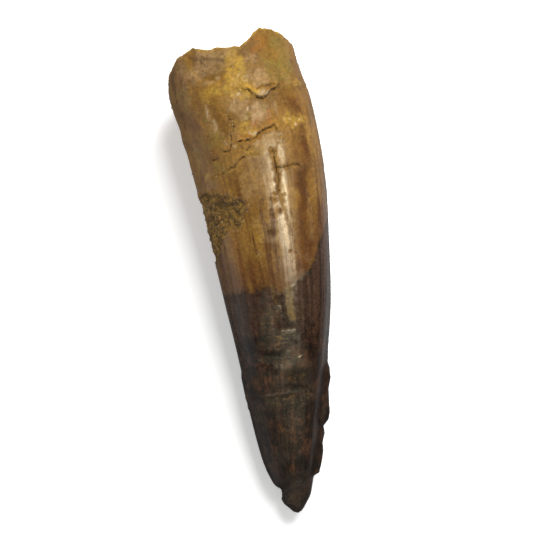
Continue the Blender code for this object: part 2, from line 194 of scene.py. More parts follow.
# Where the surface layer has flaked off or stands up: outline, height and width of the slope round it
CRUMBLED = ((-13.6, 12.6), (-10.4, 13.8), (-8.2, 14.5), (-4.6, 13.7), (-1.7, 12.2), (-2.6, 9.9),
            (-3.3, 8.0), (-5.6, 7.8), (-6.6, 6.2), (-7.6, 3.2), (-9.6, 2.7), (-12.4, 5.8))
CRUMBLED_DEEPEST = ((-6.9, 12.6), (-4.4, 12.6), (-3.2, 10.4), (-3.8, 8.3), (-5.8, 8.4), (-6.6, 10.4))
RIM_SPALL = ((-8.0, 37.6), (-7.6, 35.2), (-6.6, 33.7), (-4.0, 32.7), (-2.4, 33.6), (-1.9, 36.4))
OUTER_LAYER = ((16.0, 31.6), (12.0, 30.2), (9.9, 29.8), (8.4, 28.9), (7.2, 27.6), (6.5, 25.6),
               (5.6, 22.4), (4.1, 20.2), (4.2, 17.3), (8.4, 17.2), (13.0, 16.4), (17.0, 19.0))
FLAKE = ((0.9, 30.9), (2.7, 29.4), (3.4, 29.2), (5.4, 30.4), (6.2, 31.0), (4.2, 31.0), (2.5, 30.8))
SWOLLEN_BAND = ((-9.6, -18.6), (-6.6, -16.8), (-3.6, -15.2), (0.4, -15.9), (4.4, -16.6), (5.2, -20.6),
                (2.1, -21.2), (-1.5, -20.9), (-3.4, -20.5), (-6.2, -21.2), (-9.0, -21.8))
FLAKED_DARK = ((-2.4, -5.2), (0.4, -4.9), (0.9, -9.4), (0.2, -12.4), (-2.9, -11.9), (-3.2, -8.6))
BROKEN_TIP = ((-6.0, -36.4), (-1.2, -36.0), (0.0, -35.3), (1.4, -35.2), (5.0, -35.9), (4.0, -43.0),
              (-5.0, -43.0))
PATCHES = (
    (CRUMBLED, -0.3, 0.5), (CRUMBLED_DEEPEST, -0.35, 0.9), (RIM_SPALL, -0.32, 0.8),
    (OUTER_LAYER, 0.1, 0.5), (FLAKE, 0.22, 0.4), (SWOLLEN_BAND, 0.22, 1.2), (FLAKED_DARK, -0.1, 0.8),
    (BROKEN_TIP, -0.18, 0.9),
)
UNDER_PATCHES = (
    (((300, 34.0), (326, 33.4), (332, 28.6), (318, 26.8), (302, 29.0)), -0.4, 0.7),
    (((206, 15.0), (228, 14.0), (232, 8.6), (214, 7.4)), -0.35, 0.6),
    (((300, -14.0), (322, -13.0), (330, -18.0), (312, -20.0)), 0.22, 0.7),
)

# Soft lumps all over: size across and height, more on the root than on the crown or under it
LUMPS = ((9.0, 0.20), (3.6, 0.11))
CROWN_SHARE = 0.13
CROWN_START = 17.0
ROOT_START = 34.0
BELLY_SHARE = 0.25
BELLY_REACH = math.radians(50)
CRUMBLE_LUMPS = ((1.3, 0.22), (0.6, 0.16))

# How far drawn lines wander from their straight stretches, and over what distance
WANDER = 0.22
WANDER_SIZE = 0.8

# The crazed skin of the root: size of its plates, how much their heights differ and how deep they part
PLATE_SIZE = 3.4
PLATE_RISE = 0.045
PLATE_GROOVE = (0.22, 0.05)
PLATES_START = 19.0
PLATES_FULL = 27.0
PLATE_DRIFT = 3

# Fine ridges along the tooth and the grain of its skin: size and height. The ridges fade on the root and
# the grain on the crown, between two values of y
STRIAE = ((0.9, 0.018), (0.45, 0.011))
STRIAE_STRETCH = 0.05
SKIN_GRAIN = ((0.8, 0.022), (0.42, 0.016))
STRIAE_FADE = 0.6
STRIAE_FADES = (-2, 8)
CROWN_GRAIN = 0.12
ROOT_GRAIN = 0.75
GRAIN_GROWS = (10, 24)
ENAMEL_STEP = 0.02

# The lower edge of the light root and the upper edge of the dark enamel: angle round the tooth and y
ENAMEL_EDGE = (
    (0, 8.0), (12, 7.4), (20, 6.8), (27, 5.2), (38, 3.6), (45, 1.1), (52, -0.2), (60, -1.1), (70, -2.1),
    (80, -3.7), (88, -3.8), (95, -2.7), (102, -2.4), (111, -3.0), (125, -2.5), (140, -2.8),
    (163, -2.9), (190, -1.5), (225, 1.5), (262, 3.2), (300, 5.5), (335, 8.2),
)
YELLOW_STREAK = ((2.7, -2.6), (3.9, -2.6), (4.0, -8.4), (3.0, -8.4))
SHORT_STREAK = ((0.5, -2.0), (0.95, -2.0), (1.1, -5.4), (0.8, -5.4))

# Tints of the surface: x, y, half size across, half size along and strength
ROSE = (
    (-5.4, 36.4, 2.4, 2.8, 1.0), (-2.2, 36.6, 1.6, 2.0, 0.7), (2.4, 36.2, 1.5, 1.6, 0.7),
    (3.6, 32.9, 2.4, 1.3, 0.8), (0.6, 28.0, 2.6, 2.2, 0.6), (3.0, 26.6, 1.8, 1.8, 0.7),
    (-0.6, 27.6, 1.4, 2.0, 0.5), (1.2, 17.8, 2.0, 3.4, 0.3), (-1.0, 14.6, 1.4, 2.6, 0.4),
    (-5.4, 25.6, 1.2, 2.6, 0.4), (-9.0, 34.8, 1.2, 2.4, 0.4), (-6.8, 34.6, 1.8, 1.6, 0.8),
)
YELLOW = (
    (-0.7, 35.2, 1.5, 3.6, 1.0), (-1.4, 31.4, 4.2, 1.5, 0.9), (-5.6, 30.6, 1.8, 1.6, 0.6),
    (1.4, 30.6, 2.2, 1.0, 0.7), (8.2, 33.0, 1.2, 1.4, 0.4), (9.4, 31.0, 1.8, 0.6, 0.7),
    (8.4, 24.6, 2.8, 1.2, 0.8), (0.4, 24.2, 1.6, 1.4, 0.7), (-3.8, 12.0, 1.6, 1.0, 0.7),
    (1.2, 20.8, 1.6, 1.2, 0.5), (-0.6, 5.0, 1.2, 4.0, 0.5), (-6.8, 17.6, 1.6, 1.4, 0.5),
    (-9.0, 20.0, 1.0, 3.0, 0.4),
)
RUST = (
    (3.2, 38.2, 1.3, 1.2, 0.6), (4.2, 38.6, 0.8, 0.8, 0.4), (2.4, 25.0, 1.0, 0.8, 0.9),
    (4.4, 25.9, 0.7, 1.2, 1.0), (1.2, 22.9, 1.6, 0.7, 0.9), (-0.8, 22.7, 1.2, 0.8, 0.6),
    (-4.2, 1.2, 0.8, 3.0, 0.8), (-4.8, 4.2, 0.5, 3.0, 0.5), (6.6, 1.4, 1.8, 2.6, 0.8),
    (7.0, 5.2, 1.0, 3.0, 0.6), (-6.8, 2.6, 0.7, 3.4, 0.6), (-7.0, 9.0, 0.8, 2.2, 0.6),
    (3.4, 1.4, 0.7, 2.2, 0.4), (-1.4, 0.8, 0.7, 2.6, 0.4), (8.0, 9.0, 1.0, 3.4, 0.4),
)
OLIVE = (
    (7.4, 37.8, 2.4, 2.4, 1.0), (8.0, 34.6, 2.6, 2.6, 1.0), (6.0, 33.9, 1.4, 2.6, 0.7),
    (0.2, 26.5, 0.9, 0.8, 0.9), (-5.8, 23.3, 2.4, 1.6, 0.5), (-8.2, 22.0, 1.8, 2.2, 0.5),
    (-4.8, 18.9, 2.0, 1.6, 0.5), (0.4, 34.2, 1.2, 1.4, 0.5), (-9.6, 30.4, 1.4, 2.4, 0.6),
    (0.0, -2.9, 1.0, 0.7, 0.8), (7.8, 0.6, 1.3, 1.1, 0.9),
)
# Brown of the outer layer, and painted shade: the patches along the left and right flanks darken them as
# shade would
BROWN_AND_FLANK_SHADE = (
    (8.6, 27.2, 2.4, 1.9, 0.9), (8.9, 19.6, 2.6, 2.2, 0.9), (8.4, 14.6, 2.4, 3.4, 0.9),
    (-9.4, 28.4, 1.5, 4.4, 0.9), (-8.4, 23.4, 1.5, 3.4, 0.6), (-8.2, 17.6, 1.4, 2.4, 0.5),
    (2.6, 17.6, 1.1, 3.4, 0.5), (7.9, 8.4, 1.6, 4.4, 0.9), (-9.8, 34.6, 1.0, 2.8, 0.5),
    (-6.4, 21.0, 1.4, 1.0, 0.4),
)
# Pale flecks and edges; the narrow strips near x 5, right of the cracks there, are a painted highlight of
# the gloss
PALE_AND_HIGHLIGHT = (
    (5.3, 19.8, 0.5, 2.0, 0.6), (5.2, 15.8, 0.45, 2.4, 0.5), (5.0, 9.0, 0.5, 3.4, 0.4),
    (-6.1, 27.9, 0.35, 1.5, 0.5), (-5.0, 25.7, 0.45, 1.2, 0.55), (1.35, 23.4, 0.4, 0.3, 1.0),
    (3.6, 30.0, 1.5, 0.5, 0.6), (3.5, 33.1, 0.25, 0.2, 0.9), (-5.2, 32.9, 1.2, 0.35, 0.4),
    (-3.5, 33.4, 0.5, 0.4, 0.4), (5.4, 27.4, 0.3, 1.1, 0.3), (-2.3, 21.7, 0.3, 0.5, 0.5),
    (8.3, 24.1, 0.3, 0.3, 0.6), (3.9, -14.6, 0.3, 0.22, 1.0), (-0.6, 30.2, 1.2, 0.3, 0.4),
    (5.0, 1.2, 0.4, 1.8, 0.4), (-1.6, -20.5, 3.2, 0.2, 0.2), (-3.6, 22.6, 0.3, 0.5, 0.5),
    (0.6, 23.6, 0.3, 0.3, 0.7), (9.0, 24.6, 0.25, 0.2, 0.8), (7.4, 25.2, 0.25, 0.2, 0.7),
)

# Dark red brown patches of the root; the ones along its left and right flanks are painted shade
DEEP_AND_FLANK_SHADE = (
    (9.4, 20.4, 1.3, 3.2, 0.7), (8.6, 13.4, 1.4, 4.6, 0.9), (7.6, 5.6, 1.2, 4.6, 1.0),
    (6.4, 0.2, 1.4, 1.8, 0.9), (-6.9, 1.6, 1.3, 4.6, 0.9), (-8.4, 9.6, 1.2, 2.6, 0.6),
    (-4.4, 11.2, 1.4, 1.6, 0.8), (-6.2, 8.4, 1.6, 1.4, 0.9), (-11.2, 34.0, 0.9, 3.6, 0.7),
    (-5.8, 36.2, 0.5, 0.7, 0.8), (7.0, 30.6, 1.6, 0.3, 0.6),
    (-10.4, 27.4, 1.3, 4.0, 0.6), (-9.4, 20.0, 1.0, 3.6, 0.4), (1.4, 18.6, 0.8, 3.0, 0.35),
    (-2.2, 0.6, 1.0, 2.6, 0.6), (2.2, 0.4, 0.8, 2.4, 0.5), (8.6, 27.4, 1.4, 1.4, 0.5),
    (-3.0, 37.0, 0.5, 0.4, 0.6), (10.6, 25.6, 0.8, 2.0, 0.5), (3.6, 4.6, 0.5, 2.8, 0.4),
)
# The same on the crown, where they are nearly black
DEEP_CROWN = (
    (3.1, -17.6, 1.3, 1.0, 1.0), (-0.4, -13.8, 1.9, 0.9, 0.9), (-3.4, -18.6, 1.0, 0.9, 0.8),
    (-3.0, -22.2, 2.8, 0.5, 0.6), (2.0, -26.0, 1.2, 0.8, 0.5), (-1.6, -31.8, 1.3, 1.6, 0.6),
    (0.6, -36.6, 2.0, 0.6, 0.6), (-3.4, -28.4, 0.9, 3.6, 0.5), (1.8, -20.2, 1.6, 0.6, 0.8),
    (4.2, -23.0, 1.0, 2.6, 0.5), (-5.2, -13.0, 0.9, 2.6, 0.5), (1.6, -32.4, 1.2, 1.2, 0.5),
    (-0.6, -9.4, 1.2, 0.5, 0.5), (5.4, -12.4, 1.0, 3.0, 0.4),
)

# Places with dark specks, and places with fine wrinkles across the crown
SPECKLED = (
    (2.7, 11.2, 2.0, 1.9, 1.0), (-0.3, 9.0, 0.9, 0.9, 0.8), (5.8, 6.0, 0.7, 1.6, 0.8),
    (1.6, -2.4, 3.4, 1.2, 1.0), (7.2, 1.0, 1.6, 1.6, 1.0), (-3.6, -2.4, 2.6, 0.9, 0.8),
    (-6.2, 36.0, 1.6, 2.0, 0.7), (4.6, 26.2, 0.7, 1.2, 0.8), (8.6, 36.4, 2.0, 2.4, 0.5),
    (4.2, 16.6, 0.6, 3.0, 0.6), (-9.6, 31.4, 1.4, 3.4, 0.4), (9.2, 4.4, 1.0, 3.0, 0.7),
)
WRINKLED = (
    (0.3, -11.4, 3.6, 1.5, 1.0), (-0.8, -7.2, 2.0, 2.8, 0.8), (1.9, -22.2, 2.8, 1.3, 0.8),
    (-1.0, -15.0, 2.6, 1.0, 0.7), (3.0, -18.0, 1.6, 1.4, 0.8),
)

# Marks on the dark enamel, given in the same way: a grey film and red or orange patches
FILM = (
    (5.2, -1.0, 1.6, 0.7, 0.8), (7.4, 1.6, 0.8, 1.0, 0.7), (-0.4, -4.0, 1.2, 1.0, 0.6),
    (-0.9, -7.0, 1.3, 3.0, 0.8), (-1.4, -10.6, 1.8, 1.6, 0.7), (2.6, -12.6, 2.2, 1.8, 0.3),
    (-1.2, -14.8, 2.2, 1.2, 0.8), (0.8, -22.2, 3.2, 1.1, 0.8), (-4.4, -25.4, 1.3, 3.6, 0.7),
    (-2.4, -23.0, 1.8, 1.4, 0.5), (3.0, -20.4, 1.4, 0.6, 0.7), (-1.9, -31.0, 1.2, 3.0, 0.4),
)
EMBER = (
    (-0.9, -26.3, 0.5, 2.4, 0.6), (0.2, -28.2, 0.55, 1.7, 0.9), (1.25, -28.4, 0.45, 1.7, 1.0),
    (-1.6, -28.2, 0.5, 1.2, 0.6), (2.6, -25.9, 0.8, 0.7, 0.5), (-0.1, -33.7, 1.1, 1.1, 0.7),
    (-1.6, -17.6, 4.6, 2.4, 0.34), (-2.6, -17.8, 1.8, 0.9, 0.5), (1.6, -17.2, 1.0, 0.9, 0.5),
    (-2.7, -11.2, 0.5, 0.9, 0.9),
    (0.2, -11.8, 1.7, 0.35, 0.7), (1.2, -24.2, 0.8, 0.8, 0.4), (6.6, -17.0, 0.8, 1.6, 0.4),
    (1.3, -30.1, 0.5, 0.5, 0.5), (-5.6, -18.4, 0.7, 1.2, 0.5),
)

# How far the edges of all these spots wander, and over what distances
TINT_WANDER = ((0.8, 3.0), (0.45, 1.1))

# The mesh: rings along the tooth, points round it, and how much closer these are on top
ROWS = 352
COLUMNS = 248
TOP_SHARE = 0.3
END_RINGS = 26
SHARP_EDGE = math.radians(62)
STRAIGHT_RADIUS = 10.0

# How thickly the loose grains lie, as a share of the most
END_GRAINS = 0.6
CRUMB_GRAINS = 0.2
CRACK_GRAINS = 0.2
STREWN_GRAINS = 0.004

# Radians of the growth rings' wave from the middle of the broken end to its rim
GROWTH_RINGS = 60.0

# The studio in metres: where the camera looks, the height of the tooth's middle, where the lights aim,
# how far the floor lies below, and each light's place and size
PICTURE_CENTRE = (0.00076, 0.00066)
MIDDLE_HEIGHT = 0.009
LIGHT_TARGET = (0.0, 0.0, 0.008)
FLOOR_DROP = 0.00005
GLOSS_LIGHT = ((0.172, -0.07, 0.42), (0.075, 0.075))
SOFT_LIGHT = ((0.22, 0.36, 0.45), (0.34, 0.34))
LOW_FILL = ((-0.5, -0.05, 0.12), (0.2, 0.7))
GLOSS_COLOUR = (1.0, 0.87, 0.6)


def smooth_curve(knots, values, at):
    """A smooth curve through the knots that doesn't swing past them (cubic Hermite)."""
    knots, values, at = (np.asarray(part, float) for part in (knots, values, at))
    gaps = np.diff(knots)
    slopes = np.diff(values) / gaps
    inner = np.where(slopes[:-1] * slopes[1:] > 0,
                     2 * slopes[:-1] * slopes[1:] / (slopes[:-1] + slopes[1:] + 1e-12), 0)
    tangents = np.concatenate((slopes[:1], inner, slopes[-1:]))
    place = np.clip(np.searchsorted(knots, at) - 1, 0, len(gaps) - 1)
    t = np.clip((at - knots[place]) / gaps[place], 0, 1)
    start, end = values[place], values[place + 1]
    lift = gaps[place] * (tangents[place] * t * (1 - t) ** 2 - tangents[place + 1] * t * t * (1 - t))
    return start + (end - start) * t * t * (3 - 2 * t) + lift


def ease(value, low, high):
    """0 below low, 1 above high and a soft rise between them."""
    t = np.clip((value - low) / (high - low), 0, 1)
    return t * t * (3 - 2 * t)


def section(y):
    """Middle and half size, across and up, of the tooth's section at y."""
    stations = np.array(STATIONS)[::-1].T
    left, right, top, belly = (smooth_curve(stations[0], row, y) for row in stations[1:])
    return (left + right) / 2, (right - left) / 2, (top + belly) / 2, (top - belly) / 2


def rounded(value):
    """The cosine or sine of an ellipse, drawn out towards a rounded square."""
    return np.sign(value) * np.abs(value) ** (2 / SQUARENESS)


def around(angle, y):
    """How far round from the top a place at this angle is, along the surface: the unrolled x."""
    _, half_width, _, half_height = section(y)
    from_top = math.pi / 2 - np.where(angle > BELLY, angle - 2 * math.pi, angle)
    return from_top * (half_width + half_height) / 2


def upper_place(x, y):
    """The unrolled place of a point that is seen from above."""
    middle, half_width, _, _ = section(y)
    reach = x - middle
    seen = np.clip(reach, -half_width, half_width)
    share = seen / half_width
    angle = np.arccos(np.sign(share) * np.abs(share) ** (SQUARENESS / 2))
    return float(around(angle, y) + reach - seen), y


def under_place(angle, y):
    """The unrolled place of a point of the underside, on the left or the right of the belly line."""
    return float(around(math.radians(angle), y)), y


def upper_line(points):
    """The unrolled places of a line or outline that is seen from above."""
    return [upper_place(*point) for point in points]


def under_line(points):
    """The unrolled places of a line or outline of the underside."""
    return [under_place(*point) for point in points]


def round_value(table, angles):
    """The value at each angle, from a table of degrees and values that goes once round."""
    turns, values = np.array((*table, (table[0][0] + 360, table[0][1])), float).T
    return np.interp(np.degrees(angles) % 360, turns, values)


def distance_to_line(flat, points):
    """Distance from each unrolled place to a line, and which side of it the place is on."""
    nearest = np.full(len(flat), np.inf)
    side = np.zeros(len(flat))
    for start, end in zip(points[:-1], points[1:]):
        start, end = np.array(start), np.array(end)
        run = end - start
        share = np.clip(((flat - start) @ run) / (run @ run), 0, 1)
        gap = flat - start - share[:, None] * run
        distance = np.hypot(gap[:, 0], gap[:, 1])
        closer = distance < nearest
        nearest = np.where(closer, distance, nearest)
        side = np.where(closer, run[0] * gap[:, 1] - run[1] * gap[:, 0], side)
    return nearest, side


def depth_inside(flat, outline):
    """How far inside a closed outline each place is, and less than nothing outside it."""
    points = list(outline) + [outline[0]]
    distance, _ = distance_to_line(flat, points)
    inside = np.zeros(len(flat), bool)
    for start, end in zip(points[:-1], points[1:]):
        if start[1] == end[1]:
            continue
        crosses = (start[1] > flat[:, 1]) != (end[1] > flat[:, 1])
        at = start[0] + (flat[:, 1] - start[1]) * (end[0] - start[0]) / (end[1] - start[1])
        inside ^= crosses & (flat[:, 0] < at)
    return np.where(inside, distance, -distance)


def lumps_at(place, size):
    """Soft noise in three dimensions, between about -1 and 1."""
    return np.array([noise.noise(Vector(point) / size) for point in place]) * 1.6


def plates_at(place, size):
    """Cells like dried mud: how far each place is from the nearest joint, and its cell's own level."""
    gaps, levels = [], []
    for point in place:
        distances, centres = noise.voronoi(Vector(point) / size)
        gaps.append((distances[1] - distances[0]) * size)
        levels.append(noise.cell(centres[0] * 7.3))
    return np.array(gaps), np.array(levels) * 2 - 1


def drift(place, reach, size):
    """A small drift across and along the surface, which makes drawn lines look broken by nature."""
    across = lumps_at(place, size)
    along = lumps_at(place + np.array((0, 0, 50.0)), size)
    return reach * np.stack((across, along), axis=-1)


def straightened(angle, y):
    """The same place on a straight round bar, so that a pattern on it narrows towards the tip."""
    return np.stack((STRAIGHT_RADIUS * np.cos(angle), y, STRAIGHT_RADIUS * np.sin(angle)), axis=-1)


def tinted(flat, spots):
    """How strongly each place is tinted by a group of soft spots, from 0 to 1."""
    left = np.ones(len(flat))
    for x, y, across, along, strength in spots:
        centre = upper_place(x, y)
        reach = np.hypot((flat[:, 0] - centre[0]) / across, (flat[:, 1] - centre[1]) / along)
        left *= 1 - strength * (1 - ease(reach, 0.45, 1.35))
    return 1 - left


class Skin:
    """The side of the tooth as rings of places, with what each place is like."""

    def __init__(self, angles):
        share = np.linspace(0, 1, ROWS, endpoint=False)[:, None]
        tip_room = 0.12
        self.rim = rim_y(angles)
        y = self.rim + (TIP_Y + tip_room - self.rim) * share
        self.shape = y.shape
        self.y = y.reshape(-1)
        self.angle = np.broadcast_to(angles, y.shape).reshape(-1)
        middle, half_width, height, half_height = section(self.y)
        out_x, out_z = rounded(np.cos(self.angle)), rounded(np.sin(self.angle))
        self.body = np.stack((middle + half_width * out_x, self.y, height + half_height * out_z), axis=-1)
        normal = np.stack((out_x * half_height, np.zeros_like(self.y), out_z * half_width), axis=-1)
        self.normal = normal / np.linalg.norm(normal, axis=-1, keepdims=True)
        self.course = straightened(self.angle, self.y)
        self.smooth_flat = np.stack((around(self.angle, self.y), self.y), axis=-1)
        self.flat = self.smooth_flat + drift(self.body, WANDER, WANDER_SIZE)
        self.rim_gap = (self.rim - y).reshape(-1)
        self.crack_gap = np.full(len(self.y), FAR)
        self.streak = np.full(len(self.y), -FAR)
        self.height = np.zeros(len(self.y))

    def cut_cracks(self):
        """V-shaped cracks with closed ends, and a lip on the side towards the root."""
        lines = [(upper_line(points), *sizes) for points, *sizes in CRACKS]
        lines += [(under_line(points), *sizes) for points, *sizes in UNDER_CRACKS]
        for points, width, depth, lip in lines:
            distance, side = distance_to_line(self.flat, points)
            width *= CRACK_NARROWING
            depth *= CRACK_SHALLOWING
            self.height -= depth * np.clip(1 - 2 * distance / width, 0, 1)
            self.height += lip * np.where(side > 0, np.exp(-((distance - width) / width) ** 2), 0)
            self.crack_gap = np.minimum(self.crack_gap, distance)
        for points in HAIRLINES:
            distance, _ = distance_to_line(self.flat, upper_line(points))
            self.height -= HAIRLINE_DEPTH * np.clip(1 - 2 * distance / HAIRLINE_WIDTH, 0, 1)
            self.crack_gap = np.minimum(self.crack_gap, distance + HAIRLINE_WIDTH / 2)

    def sink_pits(self):
        """Round pits, larger ones and small ones."""
        small = [(centre, *SMALL_PIT) for centre in SMALL_PITS]
        for centre, radius, depth in (*PITS, *small):
            distance = np.hypot(*(self.flat - np.array(upper_place(*centre))).T)
            self.height -= PIT_SHALLOWING * depth * np.exp(-(distance / radius) ** 3)
            self.crack_gap = np.minimum(self.crack_gap, distance * PIT_DIRT / radius)

    def raise_patches(self):
        """Layers that have flaked off or stand up, and the crumbled place at the left edge."""
        outlines = [(upper_line(outline), *sizes) for outline, *sizes in PATCHES]
        outlines += [(under_line(outline), *sizes) for outline, *sizes in UNDER_PATCHES]
        for outline, rise, slope in outlines:
            inside = depth_inside(self.flat, outline)
            self.height += rise * ease(inside, -slope / 2, slope / 2)
        self.crumbled = depth_inside(self.flat, upper_line(CRUMBLED))
        for size, rise in CRUMBLE_LUMPS:
            self.height += ease(self.crumbled, -0.2, 0.6) * rise * lumps_at(self.body, size)

    def swell_lumps(self):
        """Soft lumps, more on the root than on the crown or under it."""
        share = CROWN_SHARE + (1 - CROWN_SHARE) * ease(self.y, CROWN_START, ROOT_START)
        from_belly = np.abs(self.angle - BELLY)
        share *= BELLY_SHARE + (1 - BELLY_SHARE) * ease(from_belly, BELLY_REACH / 2, BELLY_REACH)
        for size, rise in LUMPS:
            self.height += rise * share * lumps_at(self.body, size)

    def craze_root(self):
        """The root's skin, parted into low plates."""
        drifted = np.insert(self.flat - self.smooth_flat, 2, 0, axis=1)
        gap, level = plates_at(self.body + PLATE_DRIFT * drifted, PLATE_SIZE)
        width, depth = PLATE_GROOVE
        rooted = ease(self.y, PLATES_START, PLATES_FULL)
        self.height += rooted * PLATE_RISE * level * ease(gap, 0, 0.5)
        self.height -= rooted * depth * np.clip(1 - gap / width, 0, 1)
        self.plate_gap = np.where(self.y > PLATES_START, gap, FAR)

    def draw_striae(self):
        """Fine ridges, higher on the crown, and a grain that is coarsest on the root."""
        crowned = 1 - STRIAE_FADE * ease(self.y, *STRIAE_FADES)
        stretched = self.course * np.array((1, STRIAE_STRETCH, 1))
        for size, rise in STRIAE:
            self.height += crowned * rise * lumps_at(stretched, size)
        share = CROWN_GRAIN + ROOT_GRAIN * ease(self.y, *GRAIN_GROWS)
        for size, rise in SKIN_GRAIN:
            self.height += rise * share * lumps_at(self.body, size)

    def edge_enamel(self):
        """How far each place is inside the dark enamel, which is a thin layer that stands up."""
        inside = round_value(ENAMEL_EDGE, self.angle) - self.flat[:, 1]
        for streak in (YELLOW_STREAK, SHORT_STREAK):
            bare = depth_inside(self.flat, upper_line(streak))
            inside = np.where(bare > -1.5, np.minimum(inside, -bare), inside)
            self.streak = np.maximum(self.streak, bare)
        self.enamel = inside
        self.height += ENAMEL_STEP * ease(inside, -0.3, 0.3)

    def work_edges(self):
        """The carina on the right, with a shallow valley inside it, and the worn left edge."""
        y = self.flat[:, 1]
        right = np.abs(around(self.angle, y) - around(0.0, y))
        stand = np.interp(y, *np.array(CARINA)[::-1].T)
        self.height += stand * np.exp(-(right / CARINA_SPREAD) ** 2)
        valley = VALLEY_DEPTH * np.clip(stand, 0, 1)
        self.height -= valley * np.exp(-((right - VALLEY_PLACE) / CARINA_SPREAD) ** 2)
        left = np.abs(around(self.angle, y) - around(math.pi, y))
        self.height += np.interp(y, *np.array(LEFT_EDGE)[::-1].T) * np.exp(-(left / LEFT_SPREAD) ** 2)

    def rings(self, relief_share):
        """The finished rings, from the rim to the tip."""
        for step in (self.cut_cracks, self.sink_pits, self.raise_patches, self.swell_lumps,
                     self.craze_root, self.draw_striae, self.edge_enamel, self.work_edges):
            step()
        self.height *= relief_share * ease(self.y, TIP_Y, TIP_Y + 2.0)
        points = self.body + self.normal * self.height[:, None]
        return points.reshape(*self.shape, 3)


def rim_y(angles):
    """Where the root is broken off at each angle round the tooth, with small chips."""
    rim = round_value(RIM, angles)
    for size, rise in RIM_CHIPS:
        rim += rise * lumps_at(straightened(angles, np.full_like(angles, 7.0)), size)
    return rim


def end_rings(rim):
    """The rings of the broken end, from just inside the rim towards its middle."""
    middle = rim.mean(axis=0)
    rings = []
    for ring in range(1, END_RINGS):
        share = 1 - ring / END_RINGS
        points = middle + (rim - middle) * share
        lean = END_MIDDLE + END_LEAN * (points[:, 2] - middle[2])
        rim_lean = END_MIDDLE + END_LEAN * (rim[:, 2] - middle[2])
        points[:, 1] = lean + (rim[:, 1] - rim_lean) * share ** 5
        reach = HOLLOW_REACH + HOLLOW_WOBBLE * lumps_at(points, 4.5)
        points[:, 1] -= HOLLOW_DEPTH * ease(reach - share, 0, 0.16)
        rough = END_ROUGHNESS * (1 - share ** 6)
        points[:, 1] += rough * (lumps_at(points, 2.2) + 0.5 * lumps_at(points, 0.9))
        points[:, 1] += 0.25 * rough * lumps_at(points, 0.45)
        rings.append(points)
    return np.array(rings)


def store(mesh, name, *columns):
    """Keep up to three masks at the mesh's points, one on each axis of a vector."""
    kept = mesh.attributes.new(name, "FLOAT_VECTOR", "POINT")
    kept.data.foreach_set("vector", np.stack(columns, axis=-1).astype(np.float32).ravel())


def ring_faces(row_count):
    """Quads between neighbouring rings and fans at the two poles, which come after the rings' points."""
    starts = np.arange(row_count - 1)[:, None] * COLUMNS
    here = np.arange(COLUMNS)
    after = (here + 1) % COLUMNS
    below = starts + COLUMNS
    quads = np.stack((starts + here, starts + after, below + after, below + here), axis=-1)
    end_pole, tip_pole = row_count * COLUMNS, row_count * COLUMNS + 1
    last = (row_count - 1) * COLUMNS
    faces = quads.reshape(-1, 4).tolist()
    faces += [(end_pole, after[i], here[i]) for i in range(COLUMNS)]
    faces += [(tip_pole, last + here[i], last + after[i]) for i in range(COLUMNS)]
    return faces


def skin_mesh(length, relief_share):
    """The closed skin of the tooth in metres, lying on its belly over the origin, with its masks."""
    turn = np.linspace(0, 2 * math.pi, COLUMNS, endpoint=False)
    angles = (turn + TOP_SHARE * (np.cos(turn) - 1)) % (2 * math.pi)
    angles = np.where(angles < 0, angles + 2 * math.pi, angles)
    skin = Skin(angles)
    side = skin.rings(relief_share)
    end = end_rings(side[0])[::-1]
    points = np.concatenate((end, side)).reshape(-1, 3)
    end_middle = end[0].mean(axis=0)
    tip_middle = side[-1].mean(axis=0)
    tip_middle[1] = TIP_Y
    points = np.concatenate((points, [end_middle, tip_middle]))
    middle = (points.min(axis=0) + points.max(axis=0)) / 2
    centre = (TOOTH_BOX[0] + TOOTH_BOX[1]) / 2
    scale = length / MEASURED_LENGTH
    moved = (points - np.array((middle[0], middle[1], 0))) * scale + np.array((centre.x, centre.y, 0))
    moved[:, 2] = np.maximum(moved[:, 2], TOOTH_BOX[0].z)
    mesh = bpy.data.meshes.new("fossil_skin")
    mesh.from_pydata(moved.tolist(), [], ring_faces(len(end) + len(side)))
    mesh.update()
    keep_masks(mesh, skin, points, len(end) * COLUMNS)
    mesh.shade_smooth()
    mesh.set_sharp_from_angle(angle=SHARP_EDGE)
    return mesh


